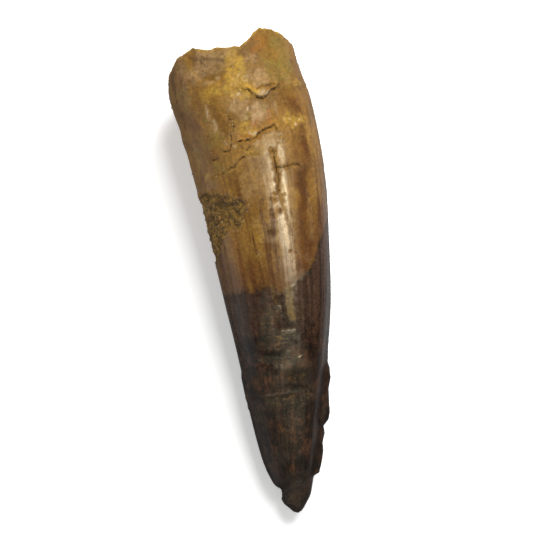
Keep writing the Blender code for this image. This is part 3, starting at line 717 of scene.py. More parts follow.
def keep_masks(mesh, skin, points, end_count):
    """What each point is like, for the material: masks and distances in millimetres."""
    flat = skin.flat + sum(drift(skin.body, *wander) for wander in TINT_WANDER)

    def whole(side_values, end_value, tip_value):
        return np.concatenate((np.full(end_count, end_value), side_values, [end_value, tip_value]))

    def tints(*groups):
        return (whole(tinted(flat, spots), 0.0, 0.0) for spots in groups)

    course = points.copy()
    course[end_count:-2] = skin.course
    store(mesh, "course", *course.T)
    store(mesh, "zones", whole(skin.enamel, -FAR, FAR), whole(skin.crack_gap, 3.0, 3.0),
          whole(skin.crumbled, -FAR, -FAR))
    store(mesh, "warm_tints", *tints(ROSE, YELLOW, RUST))
    # The brown and pale tints also hold painted shade along the flanks and a painted highlight near the
    # gloss
    store(mesh, "cool_tints_and_painted_light", *tints(OLIVE, BROWN_AND_FLANK_SHADE), whole(tinted(skin.flat, PALE_AND_HIGHLIGHT), 0.0, 0.0))
    store(mesh, "crown_marks", *tints(FILM, EMBER), whole(np.zeros(len(skin.y)), 1.0, 0.0))
    # The deep patches include painted shade along the root's flanks
    store(mesh, "patches", *tints(DEEP_AND_FLANK_SHADE + DEEP_CROWN, SPECKLED, WRINKLED))
    store(mesh, "plates", whole(skin.plate_gap, FAR, FAR), whole(skin.height, 0.0, 0.0),
          whole(skin.y, 40.0, TIP_Y))
    end_share = np.repeat(1 - np.arange(END_RINGS - 1, 0, -1) / END_RINGS, COLUMNS)
    filled = whole(np.ones(len(skin.y)), 0.0, 1.0)
    filled[:end_count] = end_share
    store(mesh, "rim", whole(skin.rim_gap, 0.0, 80.0), whole(skin.streak, -FAR, -FAR), filled)
    crumbs = CRUMB_GRAINS * ease(skin.crumbled, -0.6, 1.0)
    clusters = ease(lumps_at(skin.body, 1.6), 0.05, 0.35)
    cracks = CRACK_GRAINS * ease(skin.crack_gap, 0.3, 0.1) * clusters
    cracks *= ease(skin.y, 12.0, 16.0)
    strewn = STREWN_GRAINS * ease(skin.y, 14.0, 30.0)
    grains = whole(np.maximum(np.maximum(crumbs, cracks), strewn), 0.0, 0.0)
    past_filling = ease(end_share, HOLLOW_REACH - 0.1, HOLLOW_REACH + 0.12)
    grains[:end_count] = END_GRAINS * (1 - 0.9 * past_filling)
    grains *= ease(points[:, 2], 1.5, 3.5)
    tones = whole(0.3 - 0.15 * ease(skin.crumbled, -0.6, 0.0), 0.2, 0.0)
    store(mesh, "grains", grains, tones, tones)


class Board:
    """A node tree, with short ways of adding nodes. Each gives the socket that the next node reads."""

    def __init__(self, tree):
        self.tree = tree
        self.known = {}

    def add(self, kind, inputs, output=0, **settings):
        node = self.tree.nodes.new(kind)
        for name, value in settings.items():
            setattr(node, name, value)
        for name, value in inputs.items():
            self.feed(value, node.inputs[name])
        return node.outputs[output]

    def feed(self, value, socket):
        if isinstance(value, bpy.types.NodeSocket):
            self.tree.links.new(value, socket)
        else:
            socket.default_value = value

    def math(self, operation, *values):
        return self.add("ShaderNodeMath", dict(enumerate(values)), operation=operation)

    def times(self, product, *factors):
        for factor in factors:
            product = self.math("MULTIPLY", product, factor)
        return product

    def without(self, mask):
        return self.math("SUBTRACT", 1.0, mask)

    def ramp(self, value, low, high, from_value=0.0, to_value=1.0):
        inputs = {"Value": value, "From Min": low, "From Max": high, "To Min": from_value,
                  "To Max": to_value}
        return self.add("ShaderNodeMapRange", inputs, interpolation_type="SMOOTHSTEP")

    def mix(self, share, first, second, blend="MIX"):
        inputs = {0: share, 6: first, 7: second}
        return self.add("ShaderNodeMix", inputs, 2, data_type="RGBA", blend_type=blend)

    def mix_value(self, share, first, second):
        return self.add("ShaderNodeMix", {0: share, 2: first, 3: second}, data_type="FLOAT")

    def scaled(self, vector, factors):
        return self.add("ShaderNodeVectorMath", {0: vector, 1: factors}, operation="MULTIPLY")

    def shifted(self, vector, offset):
        return self.add("ShaderNodeVectorMath", {0: vector, 1: offset}, operation="ADD")

    def noise(self, vector, scale, detail=4.0, roughness=0.55):
        inputs = {"Vector": vector, "Scale": scale, "Detail": detail, "Roughness": roughness}
        return self.add("ShaderNodeTexNoise", inputs)

    def clouds(self, vector, noise, *levels):
        """Noise of a scale, a detail and a roughness, spread between two levels."""
        return self.ramp(self.noise(vector, *noise), *levels)

    def cells(self, vector, scale, feature="F1"):
        return self.add("ShaderNodeTexVoronoi", {"Vector": vector, "Scale": scale}, feature=feature)

    def masks(self, name):
        """The three masks that the mesh keeps under a name."""
        if name not in self.known:
            vector = self.add("ShaderNodeAttribute", {}, "Vector", attribute_name=name)
            parts = self.tree.nodes.new("ShaderNodeSeparateXYZ")
            self.tree.links.new(vector, parts.inputs[0])
            self.known[name] = tuple(parts.outputs)
        return self.known[name]

    def group(self, name, inputs):
        node = self.tree.nodes.new("ShaderNodeGroup")
        node.node_tree = shared_group(name)
        for socket, value in inputs.items():
            self.feed(value, node.inputs[socket])
        return node.outputs

    def stained(self, colour, stain, amount, place, grain, contrast):
        inputs = {"Colour": colour, "Stain": stain, "Amount": amount, "Place": place, "Grain": grain,
                  "Contrast": contrast}
        return self.group("mineral stain", inputs)["Colour"]

    def edged(self, inside, place, grain, wander, softness):
        inputs = {"Inside": inside, "Place": place, "Grain": grain, "Wander": wander, "Softness": softness}
        return self.group("ragged edge", inputs)["Mask"]


def new_group(name, inputs, outputs):
    """An empty shader group with named sockets, its board, its inputs and its output node."""
    tree = bpy.data.node_groups.new(name, "ShaderNodeTree")
    for socket, kind, default in inputs:
        made = tree.interface.new_socket(name=socket, in_out="INPUT", socket_type=kind)
        if default is not None:
            made.default_value = default
    for socket, kind in outputs:
        tree.interface.new_socket(name=socket, in_out="OUTPUT", socket_type=kind)
    given = tree.nodes.new("NodeGroupInput")
    wanted = tree.nodes.new("NodeGroupOutput")
    return tree, Board(tree), given.outputs, wanted.inputs


def ragged_edge_group():
    """A mask with a crisp, finely ragged edge, from a distance in millimetres."""
    tree, board, given, wanted = new_group(
        "ragged edge",
        [("Inside", "NodeSocketFloat", 0.0), ("Place", "NodeSocketVector", None),
         ("Grain", "NodeSocketFloat", 1.5), ("Wander", "NodeSocketFloat", 0.5),
         ("Softness", "NodeSocketFloat", 0.1)],
        [("Mask", "NodeSocketFloat")])
    ragged = board.noise(given["Place"], given["Grain"], 5.0, 0.65)
    swing = board.math("SUBTRACT", ragged, 0.5)
    pushed = board.math("MULTIPLY_ADD", swing, given["Wander"], given["Inside"])
    low = board.math("MULTIPLY", given["Softness"], -1.0)
    board.feed(board.ramp(pushed, low, given["Softness"]), wanted["Mask"])
    return tree


def stain_group():
    """A tint laid over a colour, broken up by noise so that it looks soaked in."""
    tree, board, given, wanted = new_group(
        "mineral stain",
        [("Colour", "NodeSocketColor", None), ("Stain", "NodeSocketColor", None),
         ("Amount", "NodeSocketFloat", 0.0), ("Place", "NodeSocketVector", None),
         ("Grain", "NodeSocketFloat", 0.8), ("Contrast", "NodeSocketFloat", 0.5)],
        [("Colour", "NodeSocketColor")])
    broken = board.ramp(board.noise(given["Place"], given["Grain"], 7.0, 0.68), 0.36, 0.64)
    kept = board.without(board.times(board.without(broken), given["Contrast"]))
    soaked = board.times(kept, given["Amount"])
    edged = board.math("MULTIPLY_ADD", board.math("SUBTRACT", broken, 0.5), 0.75, given["Amount"])
    crisp = board.times(board.ramp(edged, 0.3, 0.66), board.ramp(given["Amount"], 0.05, 0.7, 0.0, 0.9))
    share = board.math("MULTIPLY_ADD", board.math("SUBTRACT", crisp, soaked), 0.28, soaked)
    board.feed(board.mix(share, given["Colour"], given["Stain"]), wanted["Colour"])
    return tree


def mineral_grain_group():
    """Fine speckles and grain, for the skin and for the loose grains."""
    tree, board, given, wanted = new_group(
        "mineral grain",
        [("Place", "NodeSocketVector", None), ("Grain", "NodeSocketFloat", 2.0)],
        [("Tone", "NodeSocketFloat"), ("Height", "NodeSocketFloat"), ("Specks", "NodeSocketFloat")])
    tone = board.noise(given["Place"], given["Grain"], 6.0, 0.7)
    finer = board.math("MULTIPLY", given["Grain"], 2.6)
    height = board.noise(given["Place"], finer, 4.0, 0.6)
    specks = board.cells(given["Place"], given["Grain"])
    board.feed(tone, wanted["Tone"])
    board.feed(height, wanted["Height"])
    board.feed(board.ramp(specks, 0.24, 0.12), wanted["Specks"])
    return tree


SHARED_GROUPS = {"ragged edge": ragged_edge_group, "mineral stain": stain_group,
                 "mineral grain": mineral_grain_group}


def shared_group(name):
    """A shader group that several materials use, made once, when it is first asked for."""
    return bpy.data.node_groups.get(name) or SHARED_GROUPS[name]()


def colour_setting(name, description, red, green, blue):
    """A colour that can be changed, with its name, what it is for and its usual value."""
    return bpy.props.FloatVectorProperty(name=name, description=description, subtype="COLOR", size=4,
                                         min=0, max=1, default=(red, green, blue, 1))


class FossilSkinSettings(bpy.types.PropertyGroup):
    """Sizes and colours of the tooth's skin."""

    length: bpy.props.FloatProperty(
        name="Length", description="Length of the tooth from the root's broken rim to the tip",
        default=TOOTH_BOX[1].y - TOOTH_BOX[0].y, min=0.02, max=0.2, unit="LENGTH")
    relief: bpy.props.FloatProperty(
        name="Relief", description="How deep the cracks, pits and lumps are, as a share of the usual ones",
        default=1.0, min=0.0, max=1.5, subtype="FACTOR")
    caramel: colour_setting("Caramel", "Main brown of the root", 0.172, 0.082, 0.0125)
    honey: colour_setting("Honey", "Lighter brown of the root", 0.232, 0.115, 0.018)
    red_brown: colour_setting("Red brown", "Darker streaks of the root", 0.08, 0.028, 0.005)
    rose: colour_setting("Rose", "Pinkish grey of the spalled rim", 0.31, 0.187, 0.075)
    yellow: colour_setting("Yellow", "Ochre of the root's yellow bands", 0.35, 0.2, 0.024)
    rust: colour_setting("Rust", "Iron stain", 0.24, 0.085, 0.008)
    olive: colour_setting("Olive", "Greenish stain", 0.19, 0.13, 0.022)
    # Also the colour of the painted shade along the root's flanks
    brown: colour_setting("Brown layer", "Smooth brown of the outer layer", 0.13, 0.052, 0.009)
    # Also the colour of the painted highlight near the gloss on the root
    cream_and_highlight: colour_setting("Cream", "Bare, pale edges and flecks", 0.44, 0.33, 0.19)
    enamel: colour_setting("Enamel", "Nearly black brown of the crown", 0.013, 0.007, 0.0034)
    enamel_red: colour_setting("Red enamel", "Reddish streaks of the crown", 0.037, 0.0135, 0.0045)
    mustard: colour_setting("Mustard", "Streaks of bare dentine in the enamel", 0.13, 0.076, 0.017)
    enamel_light: colour_setting("Light enamel", "Purple brown of the enamel near the root",
                                 0.07, 0.036, 0.021)
    soot: colour_setting("Pits of the crown", "Nearly black hollows of the crown", 0.005, 0.0035, 0.0022)
    scratch: colour_setting("Wrinkles", "Yellowish brown of the wrinkles across the crown",
                            0.1, 0.059, 0.018)
    film: colour_setting("Grey film", "Grey-green film on the crown", 0.025, 0.0185, 0.009)
    ember: colour_setting("Ember", "Orange-red patches of the crown", 0.062, 0.022, 0.004)
    # Also the colour of the painted shade in the crumbled place's hollows
    dirt: colour_setting("Dirt", "Dark soil in cracks and pits", 0.028, 0.014, 0.005)
    sand: colour_setting("Sand", "Sandy stone of the broken end", 0.27, 0.16, 0.05)


class StudioSettings(bpy.types.PropertyGroup):
    """The floor, the lights and the camera."""

    floor_size: bpy.props.FloatProperty(
        name="Floor size", description="Width of the floor", default=8.0, min=0.5, max=20, unit="LENGTH")
    floor_colour: colour_setting("Floor colour", "Colour of the plain floor", 0.93, 0.93, 0.925)
    floor_glow: bpy.props.FloatProperty(
        name="Floor glow", description="Light that the floor gives off, as on a light table", default=0.32,
        min=0, max=5)
    camera_height: bpy.props.FloatProperty(
        name="Camera height", description="Height of the camera over the floor", default=0.7, min=0.2, max=3,
        unit="LENGTH")
    camera_roll: bpy.props.FloatProperty(
        name="Camera roll", description="How far the tooth leans in the picture",
        default=math.radians(7.8), subtype="ANGLE")
    picture_width: bpy.props.FloatProperty(
        name="Picture width", description="Width of the view at the height of the tooth's middle",
        default=0.0918, min=0.02, max=1, unit="LENGTH")
    gloss_power: bpy.props.FloatProperty(
        name="Gloss light", description="Power of the small light that draws the gloss on the right",
        default=1.85, min=0, max=50, unit="POWER")
    soft_power: bpy.props.FloatProperty(
        name="Soft light", description="Power of the large light beyond the root, on the right", default=6.0,
        min=0, max=50, unit="POWER")
    fill_power: bpy.props.FloatProperty(
        name="Low fill", description="Power of the low light on the left", default=0.5, min=0, max=50,
        unit="POWER")
    sky_strength: bpy.props.FloatProperty(
        name="Sky", description="Strength of the soft light from all sides", default=0.4, min=0, max=5)
    reflected_sky: bpy.props.FloatProperty(
        name="Reflected sky", description="Strength of the sky where the tooth reflects it", default=0.1,
        min=0, max=5)
    reflected_wall: bpy.props.FloatProperty(
        name="Reflected wall", description="Extra light that the left side reflects", default=0.5, min=0,
        max=5)
    reflected_paper: bpy.props.FloatProperty(
        name="Reflected floor", description="Extra light that the right edge reflects", default=0.35, min=0,
        max=5)
    backdrop: bpy.props.FloatProperty(
        name="Backdrop", description="Brightness of the backdrop that the camera sees", default=0.9, min=0,
        max=5)


def new_material(name):
    """A material, its board, its shader and each place on the piece in millimetres."""
    material = bpy.data.materials.new(name)
    material.use_nodes = True
    board = Board(material.node_tree)
    metres = board.add("ShaderNodeTexCoord", {}, "Object")
    place = board.scaled(metres, (MILLIMETRES, MILLIMETRES, MILLIMETRES))
    return material, board, material.node_tree.nodes["Principled BSDF"], place


def root_colour(board, look, place, course):
    """The light root: browns in clouds, streaks that run along it, its stains, and painted shade along its
    flanks.
    """
    _, _, along = board.masks("plates")
    rose, yellow, rust = board.masks("warm_tints")
    olive, brown, _ = board.masks("cool_tints_and_painted_light")
    deep, _, _ = board.masks("patches")
    rim_gap, _, _ = board.masks("rim")
    inside_enamel, _, _ = board.masks("zones")
    streaked = board.scaled(course, (1.0, 0.06, 1.0))

    colour = board.mix(board.clouds(place, (0.2, 5.0, 0.6), 0.38, 0.62), look.caramel, look.honey)
    crowned = board.ramp(along, 24.0, 8.0, 0.2, 1.0)
    dark_streak = board.clouds(streaked, (1.1, 7.0, 0.66), 0.47, 0.6)
    colour = board.mix(board.times(dark_streak, crowned), colour, look.red_brown)
    light_streak = board.clouds(board.shifted(streaked, (31, 7, 12)), (1.7, 7.0, 0.7), 0.54, 0.7)
    light_streak = board.times(light_streak, board.times(crowned, 0.7))
    colour = board.mix(light_streak, colour, look.honey)
    mottled = board.clouds(board.shifted(place, (5, 40, 3)), (0.62, 7.0, 0.68), 0.52, 0.74, 0.0, 0.6)
    colour = board.mix(mottled, colour, look.brown)
    # The brown tint is also painted shade along the left and right flanks
    stains = ((brown, look.brown, 0.5, 0.5), (olive, look.olive, 0.7, 0.9), (rose, look.rose, 0.9, 0.7),
              (yellow, look.yellow, 0.8, 0.8), (rust, look.rust, 1.2, 0.9))
    for amount, tint, grain, contrast in stains:
        colour = board.stained(colour, tint, amount, place, grain, contrast)
    wide_rose = board.clouds(board.shifted(place, (60, 2, 9)), (0.3, 6.0, 0.7), 0.56, 0.72, 0.0, 0.4)
    colour = board.mix(wide_rose, colour, look.rose)
    wide_olive = board.clouds(board.shifted(place, (8, 70, 20)), (0.42, 6.0, 0.7), 0.54, 0.7, 0.0, 0.5)
    colour = board.mix(board.times(wide_olive, board.ramp(along, 14.0, 24.0)), colour, look.olive)
    # Dark red brown patches, which along the left and right flanks are painted shade
    colour = board.stained(colour, look.red_brown, deep, streaked, 0.9, 0.55)
    border = board.math("MULTIPLY_ADD", board.noise(place, 1.4, 5.0, 0.65), 2.4, -0.9)
    bordered = board.ramp(board.math("SUBTRACT", border, rim_gap), -0.2, 0.3, 0.0, 0.8)
    colour = board.mix(bordered, colour, look.yellow)
    burnt = board.times(board.ramp(inside_enamel, -12.0, 0.0, 0.0, 0.85),
                        board.clouds(streaked, (0.6, 6.0, 0.62), 0.34, 0.6, 0.4, 1.0))
    return board.mix(burnt, colour, look.red_brown)


def enamel_colour(board, look, place, course, wrinkles):
    """The dark crown: reddish streaks, dark hollows, wrinkles, orange-red patches and a grey film."""
    _, _, along = board.masks("plates")
    inside_enamel, _, _ = board.masks("zones")
    deep, _, wrinkled = board.masks("patches")
    film, ember, _ = board.masks("crown_marks")

    reddish = board.clouds(board.scaled(course, (1.0, 0.05, 1.0)), (0.75, 7.0, 0.66), 0.3, 0.74)
    colour = board.mix(reddish, look.enamel, look.enamel_red)
    blotched = board.clouds(place, (0.55, 7.0, 0.7), 0.46, 0.6, 0.0, 0.65)
    worn = board.times(blotched, board.ramp(along, -4.0, -12.0, 0.25, 1.0))
    colour = board.mix(worn, colour, look.enamel_red)
    fresh = board.times(board.ramp(inside_enamel, 15.0, 0.5), board.ramp(reddish, 0.1, 0.9, 0.25, 0.9))
    colour = board.mix(fresh, colour, look.enamel_light)
    colour = board.stained(colour, look.soot, deep, place, 1.2, 0.8)
    scratched = board.times(wrinkled, board.ramp(wrinkles, 0.46, 0.6, 0.0, 0.95))
    colour = board.mix(scratched, colour, look.scratch)
    colour = board.stained(colour, look.ember, ember, board.scaled(course, (1.0, 0.3, 1.0)), 1.8, 0.9)
    return board.stained(colour, look.film, film, place, 1.3, 1.2)


def crumbled_colour(board, look, place, colour, crumbled):
    """The crumbled place: a sandy crust with clustered dark spots in the dirt colour, painted shade of its
    hollows.
    """
    crumbs = board.clouds(place, (0.75, 7.0, 0.7), 0.32, 0.54)
    crust = board.mix(crumbs, look.red_brown, board.mix(0.6, look.caramel, look.yellow))
    colour = board.mix(board.times(crumbled, 0.75), colour, crust)
    clustered = board.clouds(board.shifted(place, (3, 3, 30)), (0.4, 3.0, 0.5), 0.38, 0.55)
    # Painted shade: dark clustered spots stand for the shade in the small hollows
    hollows = board.times(board.clouds(place, (1.15, 6.0, 0.66), 0.5, 0.42), clustered)
    return board.mix(board.times(crumbled, hollows, 0.6), colour, look.dirt)


def tone_and_relief_shade(board, place, course, grain, dark):
    """How much lighter or darker than its colour each place is, as a grey: a random tone, with painted shade
    in the relief's hollows and painted light on its heights.
    """
    _, relief, along = board.masks("plates")
    # Painted shade: the relief's hollows are darkened and its heights lightened, as light would fall on them
    toned = board.times(board.ramp(grain["Tone"], 0.25, 0.75, 0.66, 1.3),
                        board.ramp(relief, -0.5, 0.25, 0.72, 1.06))
    weather = board.noise(board.scaled(course, (1.0, 0.6, 1.0)), 0.9, 8.0, 0.74)
    wide_tone = board.clouds(board.shifted(place, (17, 4, 2)), (0.34, 3.0, 0.55), 0.4, 0.6, 0.6, 1.4)
    worn_tone = board.times(board.ramp(weather, 0.38, 0.62, 0.3, 1.25), wide_tone)
    smooth_tone = board.ramp(weather, 0.36, 0.64, 0.75, 1.2)
    crown_tone = board.mix_value(board.ramp(along, -5.0, -13.0), smooth_tone, worn_tone)
    toned = board.times(toned, board.mix_value(dark, 1.0, crown_tone))
    return board.add("ShaderNodeCombineColor", {0: toned, 1: toned, 2: toned})


def broken_end_colour(board, look, place):
    """The broken end: growth rings of dentine round a sandy filling."""
    _, _, end_share = board.masks("rim")
    sandy = board.mix(board.clouds(place, (0.9, 7.0, 0.7), 0.35, 0.65), look.caramel, look.sand)
    wandering = board.math("MULTIPLY_ADD", board.noise(place, 0.35, 4.0, 0.6), 0.22, end_share)
    rings = board.math("SINE", board.times(wandering, GROWTH_RINGS))
    dentine = board.mix(board.ramp(rings, -1.0, 1.0, 0.15, 0.85), look.brown, look.honey)
    dentine = board.mix(board.ramp(wandering, 0.98, 1.1, 0.0, 0.8), dentine, look.red_brown)
    return board.mix(board.ramp(wandering, 0.68, 0.74), sandy, dentine)


def skin_gloss(board, shader, place, dark, crumbled):
    """How rough each place is, and the polish of the root's smooth part."""
    _, crack_gap, _ = board.masks("zones")
    film, _, broken_end = board.masks("crown_marks")
    _, _, wrinkled = board.masks("patches")
    _, _, along = board.masks("plates")
    gloss = board.clouds(place, (0.8, 5.0, 0.6), 0.3, 0.7, 0.21, 0.29)
    gloss = board.math("ADD", gloss, board.ramp(along, 10.0, 19.0, 0.0, 0.16))
    crown_gloss = board.clouds(place, (1.1, 5.0, 0.6), 0.3, 0.7, 0.2, 0.3)
    crown_gloss = board.math("ADD", crown_gloss, board.ramp(along, -11.0, -20.0, 0.0, 0.16))
    rough = board.math("ADD", board.times(gloss, board.without(dark)), board.times(crown_gloss, dark))
    pitted = board.ramp(crack_gap, 0.9, 0.25)
    for mask, amount in ((film, 0.3), (wrinkled, 0.2), (crumbled, 0.45), (pitted, 0.4), (broken_end, 0.6)):
        rough = board.math("MULTIPLY_ADD", mask, amount, rough)
    board.feed(board.math("MINIMUM", rough, 0.92), shader.inputs["Roughness"])
    polished = board.times(board.without(dark), board.ramp(along, 22.0, 10.0, 0.0, 0.42))
    for mask in (crumbled, pitted, broken_end):
        polished = board.times(polished, board.without(mask))
    board.feed(polished, shader.inputs["Coat Weight"])
    shader.inputs["Coat Roughness"].default_value = 0.28


def skin_bump(board, place, course, grain, wrinkles, crumbled, cracked):
    """Relief too fine for the mesh, in millimetres: ridges, grain, crumb, cracks, wear and wrinkles."""
    _, _, along = board.masks("plates")
    _, _, wrinkled = board.masks("patches")
    _, _, broken_end = board.masks("crown_marks")
    fine_ridges = board.noise(board.scaled(course, (1.0, 0.035, 1.0)), 2.6, 4.0, 0.65)
    height = board.times(fine_ridges, 0.014)
    unpolished = board.math("MAXIMUM", board.ramp(along, 13.0, 24.0), board.ramp(along, -6.0, -14.0))
    unpolished = board.math("MAXIMUM", unpolished, 0.15)
    grainy = board.math("MULTIPLY_ADD", grain["Height"], 0.006, board.times(grain["Tone"], 0.012))
    height = board.math("MULTIPLY_ADD", grainy, unpolished, height)
    crumb_height = board.times(board.math("MAXIMUM", crumbled, broken_end), 0.3)
    height = board.math("MULTIPLY_ADD", board.noise(place, 1.9, 7.0, 0.72), crumb_height, height)
    height = board.math("MULTIPLY_ADD", cracked, -0.1, height)
    worn = board.math("ADD", board.ramp(along, -9.0, -16.0, 0.0, 0.06),
                      board.ramp(along, -35.0, -37.0, 0.0, 0.3))
    height = board.math("ADD", board.times(board.noise(place, 1.4, 7.0, 0.72), worn), height)
    height = board.math("MULTIPLY_ADD", board.times(wrinkles, wrinkled), 0.13, height)
    return board.add("ShaderNodeBump", {"Height": height, "Distance": 0.001, "Strength": 1.0})


def skin_material(look):
    """Fossil dentine and enamel: streaked, stained and cracked, with a soft gloss, painted shade in hollows
    and along the root's flanks, and a painted highlight near the gloss.
    """
    material, board, shader, place = new_material("fossil_skin")
    course = board.add("ShaderNodeAttribute", {}, "Vector", attribute_name="course")
    inside_enamel, crack_gap, crumble_depth = board.masks("zones")
    _, _, pale = board.masks("cool_tints_and_painted_light")
    _, _, broken_end = board.masks("crown_marks")
    plate_gap, _, _ = board.masks("plates")
    _, streak, _ = board.masks("rim")
    _, speckled, _ = board.masks("patches")
    grain = board.group("mineral grain", {"Place": place, "Grain": 2.2})
    wrinkles = board.noise(board.scaled(place, (0.3, 1.0, 0.3)), 2.2, 6.0, 0.7)

    dark = board.edged(inside_enamel, board.scaled(course, (1.0, 0.5, 1.0)), 1.9, 2.2, 0.4)
    colour = board.mix(dark, root_colour(board, look, place, course),
                       enamel_colour(board, look, place, course, wrinkles))
    colour = board.mix(board.edged(streak, place, 2.5, 0.25, 0.1), colour, look.mustard)
    seam = board.ramp(board.math("ABSOLUTE", board.math("SUBTRACT", inside_enamel, 0.3)), 1.5, 0.1)
    seam = board.times(seam, board.clouds(place, (1.5, 6.0, 0.7), 0.4, 0.6, 0.0, 0.8))
    colour = board.mix(seam, colour, look.dirt)
    crumbled = board.edged(crumble_depth, place, 0.8, 3.2, 0.45)
    colour = crumbled_colour(board, look, place, colour, crumbled)
    specks = board.group("mineral grain", {"Place": place, "Grain": 1.25})["Specks"]
    colour = board.mix(board.times(specks, speckled, 0.85), colour, look.dirt)
    # Random tone, with painted shade in the relief's hollows and painted light on its heights
    colour = board.mix(1.0, colour, tone_and_relief_shade(board, place, course, grain, dark), "MULTIPLY")
    joint = board.times(board.ramp(plate_gap, 0.28, 0.05, 0.0, 0.45), board.ramp(grain["Height"], 0.4, 0.6))
    colour = board.mix(joint, colour, look.red_brown)
    # Pale flecks, and a painted highlight in strips near the gloss on the root
    colour = board.stained(colour, look.cream_and_highlight, pale, place, 2.0, 0.7)
    cracked = board.edged(board.math("SUBTRACT", 0.08, crack_gap), place, 2.5, 0.2, 0.12)
    colour = board.mix(board.times(cracked, 0.7), colour, look.dirt)
    colour = board.mix(broken_end, colour, broken_end_colour(board, look, place))
    board.feed(colour, shader.inputs["Base Color"])

    skin_gloss(board, shader, place, dark, crumbled)
    bump = skin_bump(board, place, course, grain, wrinkles, crumbled, cracked)
    board.feed(bump, shader.inputs["Normal"])
    return material


def object_from(mesh, material):
    """A finished piece with one material, linked to the scene."""
    piece = bpy.data.objects.new(mesh.name, mesh)
    bpy.context.scene.collection.objects.link(piece)
    mesh.materials.clear()
    mesh.materials.append(material)
    return piece


class FOSSIL_OT_make_skin(bpy.types.Operator):
    """Make the tooth's skin, from the broken root to the worn tip"""

    bl_idname = "fossil_tooth.make_skin"
    bl_label = "Make Tooth Skin"

    def execute(self, context):
        look = context.scene.fossil_skin
        mesh = skin_mesh(look.length, look.relief)
        if len(mesh.polygons) == 0:
            raise RuntimeError("the tooth's skin has no faces")
        skin = object_from(mesh, skin_material(look))
        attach(skin, "root")
        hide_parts("tooth")
        return {"FINISHED"}


class MatrixGrainSettings(bpy.types.PropertyGroup):
    """Size, number and colours of the loose grains of matrix."""

    per_area: bpy.props.FloatProperty(
        name="Grains", description="Grains on each square millimetre where they lie thickest", default=14.0,
        min=0, max=60)
    grain_size: bpy.props.FloatProperty(
        name="Grain size", description="Mean radius of a grain", default=0.00015, min=0.00002, max=0.001,
        unit="LENGTH", precision=5)
    seed: bpy.props.IntProperty(name="Seed", description="Changes where the grains lie", default=7, min=0)
    grain_dark: colour_setting("Dark grains", "Colour of the darkest grains", 0.045, 0.02, 0.007)
    grain_sand: colour_setting("Sandy grains", "Colour of most grains", 0.25, 0.135, 0.028)
    grain_pale: colour_setting("Pale grains", "Colour of the palest grains", 0.42, 0.29, 0.12)


def random_value(board, kind, low, high, seed):
    """A random value for each element: a number or a vector."""
    node = board.tree.nodes.new("FunctionNodeRandomValue")
    node.data_type = kind
    for name, value in (("Min", low), ("Max", high), ("Seed", seed)):
        board.feed(value, next(socket for socket in node.inputs if socket.enabled and socket.name == name))
    return next(socket for socket in node.outputs if socket.enabled)


def grain_tree():
    """Geometry nodes that strew faceted grains over a mesh, as thickly as its grain mask says."""
    tree = bpy.data.node_groups.new("matrix grains", "GeometryNodeTree")
    sockets = (("Geometry", "NodeSocketGeometry"), ("Grains per area", "NodeSocketFloat"),
               ("Grain size", "NodeSocketFloat"), ("Seed", "NodeSocketInt"),
               ("Material", "NodeSocketMaterial"))
    for name, kind in sockets:
        tree.interface.new_socket(name=name, in_out="INPUT", socket_type=kind)
    tree.interface.new_socket(name="Geometry", in_out="OUTPUT", socket_type="NodeSocketGeometry")
    board = Board(tree)
    given = tree.nodes.new("NodeGroupInput").outputs
    wanted = tree.nodes.new("NodeGroupOutput").inputs
    mask = board.add("GeometryNodeInputNamedAttribute", {"Name": "grains"}, data_type="FLOAT_VECTOR")
    share = board.add("ShaderNodeSeparateXYZ", {0: mask})
    tone_shift = board.add("ShaderNodeSeparateXYZ", {0: mask}, 1)
    density = board.math("MULTIPLY", share, given["Grains per area"])
    points = board.add("GeometryNodeDistributePointsOnFaces",
                       {"Mesh": given["Geometry"], "Density": density, "Seed": given["Seed"]})
    ball = board.add("GeometryNodeMeshIcoSphere", {"Radius": given["Grain size"], "Subdivisions": 1})
    corner = random_value(board, "FLOAT_VECTOR", (-0.3, -0.3, -0.3), (0.3, 0.3, 0.3), given["Seed"])
    pushed = board.add("ShaderNodeVectorMath", {0: corner, "Scale": given["Grain size"]}, operation="SCALE")
    grain = board.add("GeometryNodeSetPosition", {"Geometry": ball, "Offset": pushed})
    turn = random_value(board, "FLOAT_VECTOR", (0, 0, 0), (6.28, 6.28, 6.28), given["Seed"])
    rotation = board.add("FunctionNodeEulerToRotation", {"Euler": turn})
    stretch = random_value(board, "FLOAT_VECTOR", (0.4, 0.4, 0.4), (1.5, 1.5, 1.5), given["Seed"])
    laid = board.add("GeometryNodeInstanceOnPoints",
                     {"Points": points, "Instance": grain, "Rotation": rotation, "Scale": stretch})
    tone = board.math("ADD", random_value(board, "FLOAT", 0.0, 0.75, given["Seed"]), tone_shift)
    toned = board.add("GeometryNodeStoreNamedAttribute", {"Geometry": laid, "Name": "tone", "Value": tone},
                      data_type="FLOAT", domain="INSTANCE")
    realized = board.add("GeometryNodeRealizeInstances", {"Geometry": toned})
    board.feed(board.add("GeometryNodeSetMaterial", {"Geometry": realized, "Material": given["Material"]}),
               wanted["Geometry"])
    return tree


def grains_mesh(settings, skin_surface, material):
    """The grains as one plain mesh, strewn over a copy of the skin."""
    host = bpy.data.objects.new("grain_host", skin_surface.copy())
    bpy.context.scene.collection.objects.link(host)
    modifier = host.modifiers.new("grains", "NODES")
    tree = grain_tree()
    values = {"Grains per area": settings.per_area * 1e6, "Grain size": settings.grain_size,
              "Seed": settings.seed, "Material": material}
    modifier.node_group = tree
    for item in tree.interface.items_tree:
        if item.in_out == "INPUT" and item.name in values:
            modifier[item.identifier] = values[item.name]
    mesh = bpy.data.meshes.new_from_object(host.evaluated_get(bpy.context.evaluated_depsgraph_get()))
    mesh.name = "matrix_grains"
    host.modifiers.remove(modifier)
    bpy.data.objects.remove(host)
    return mesh


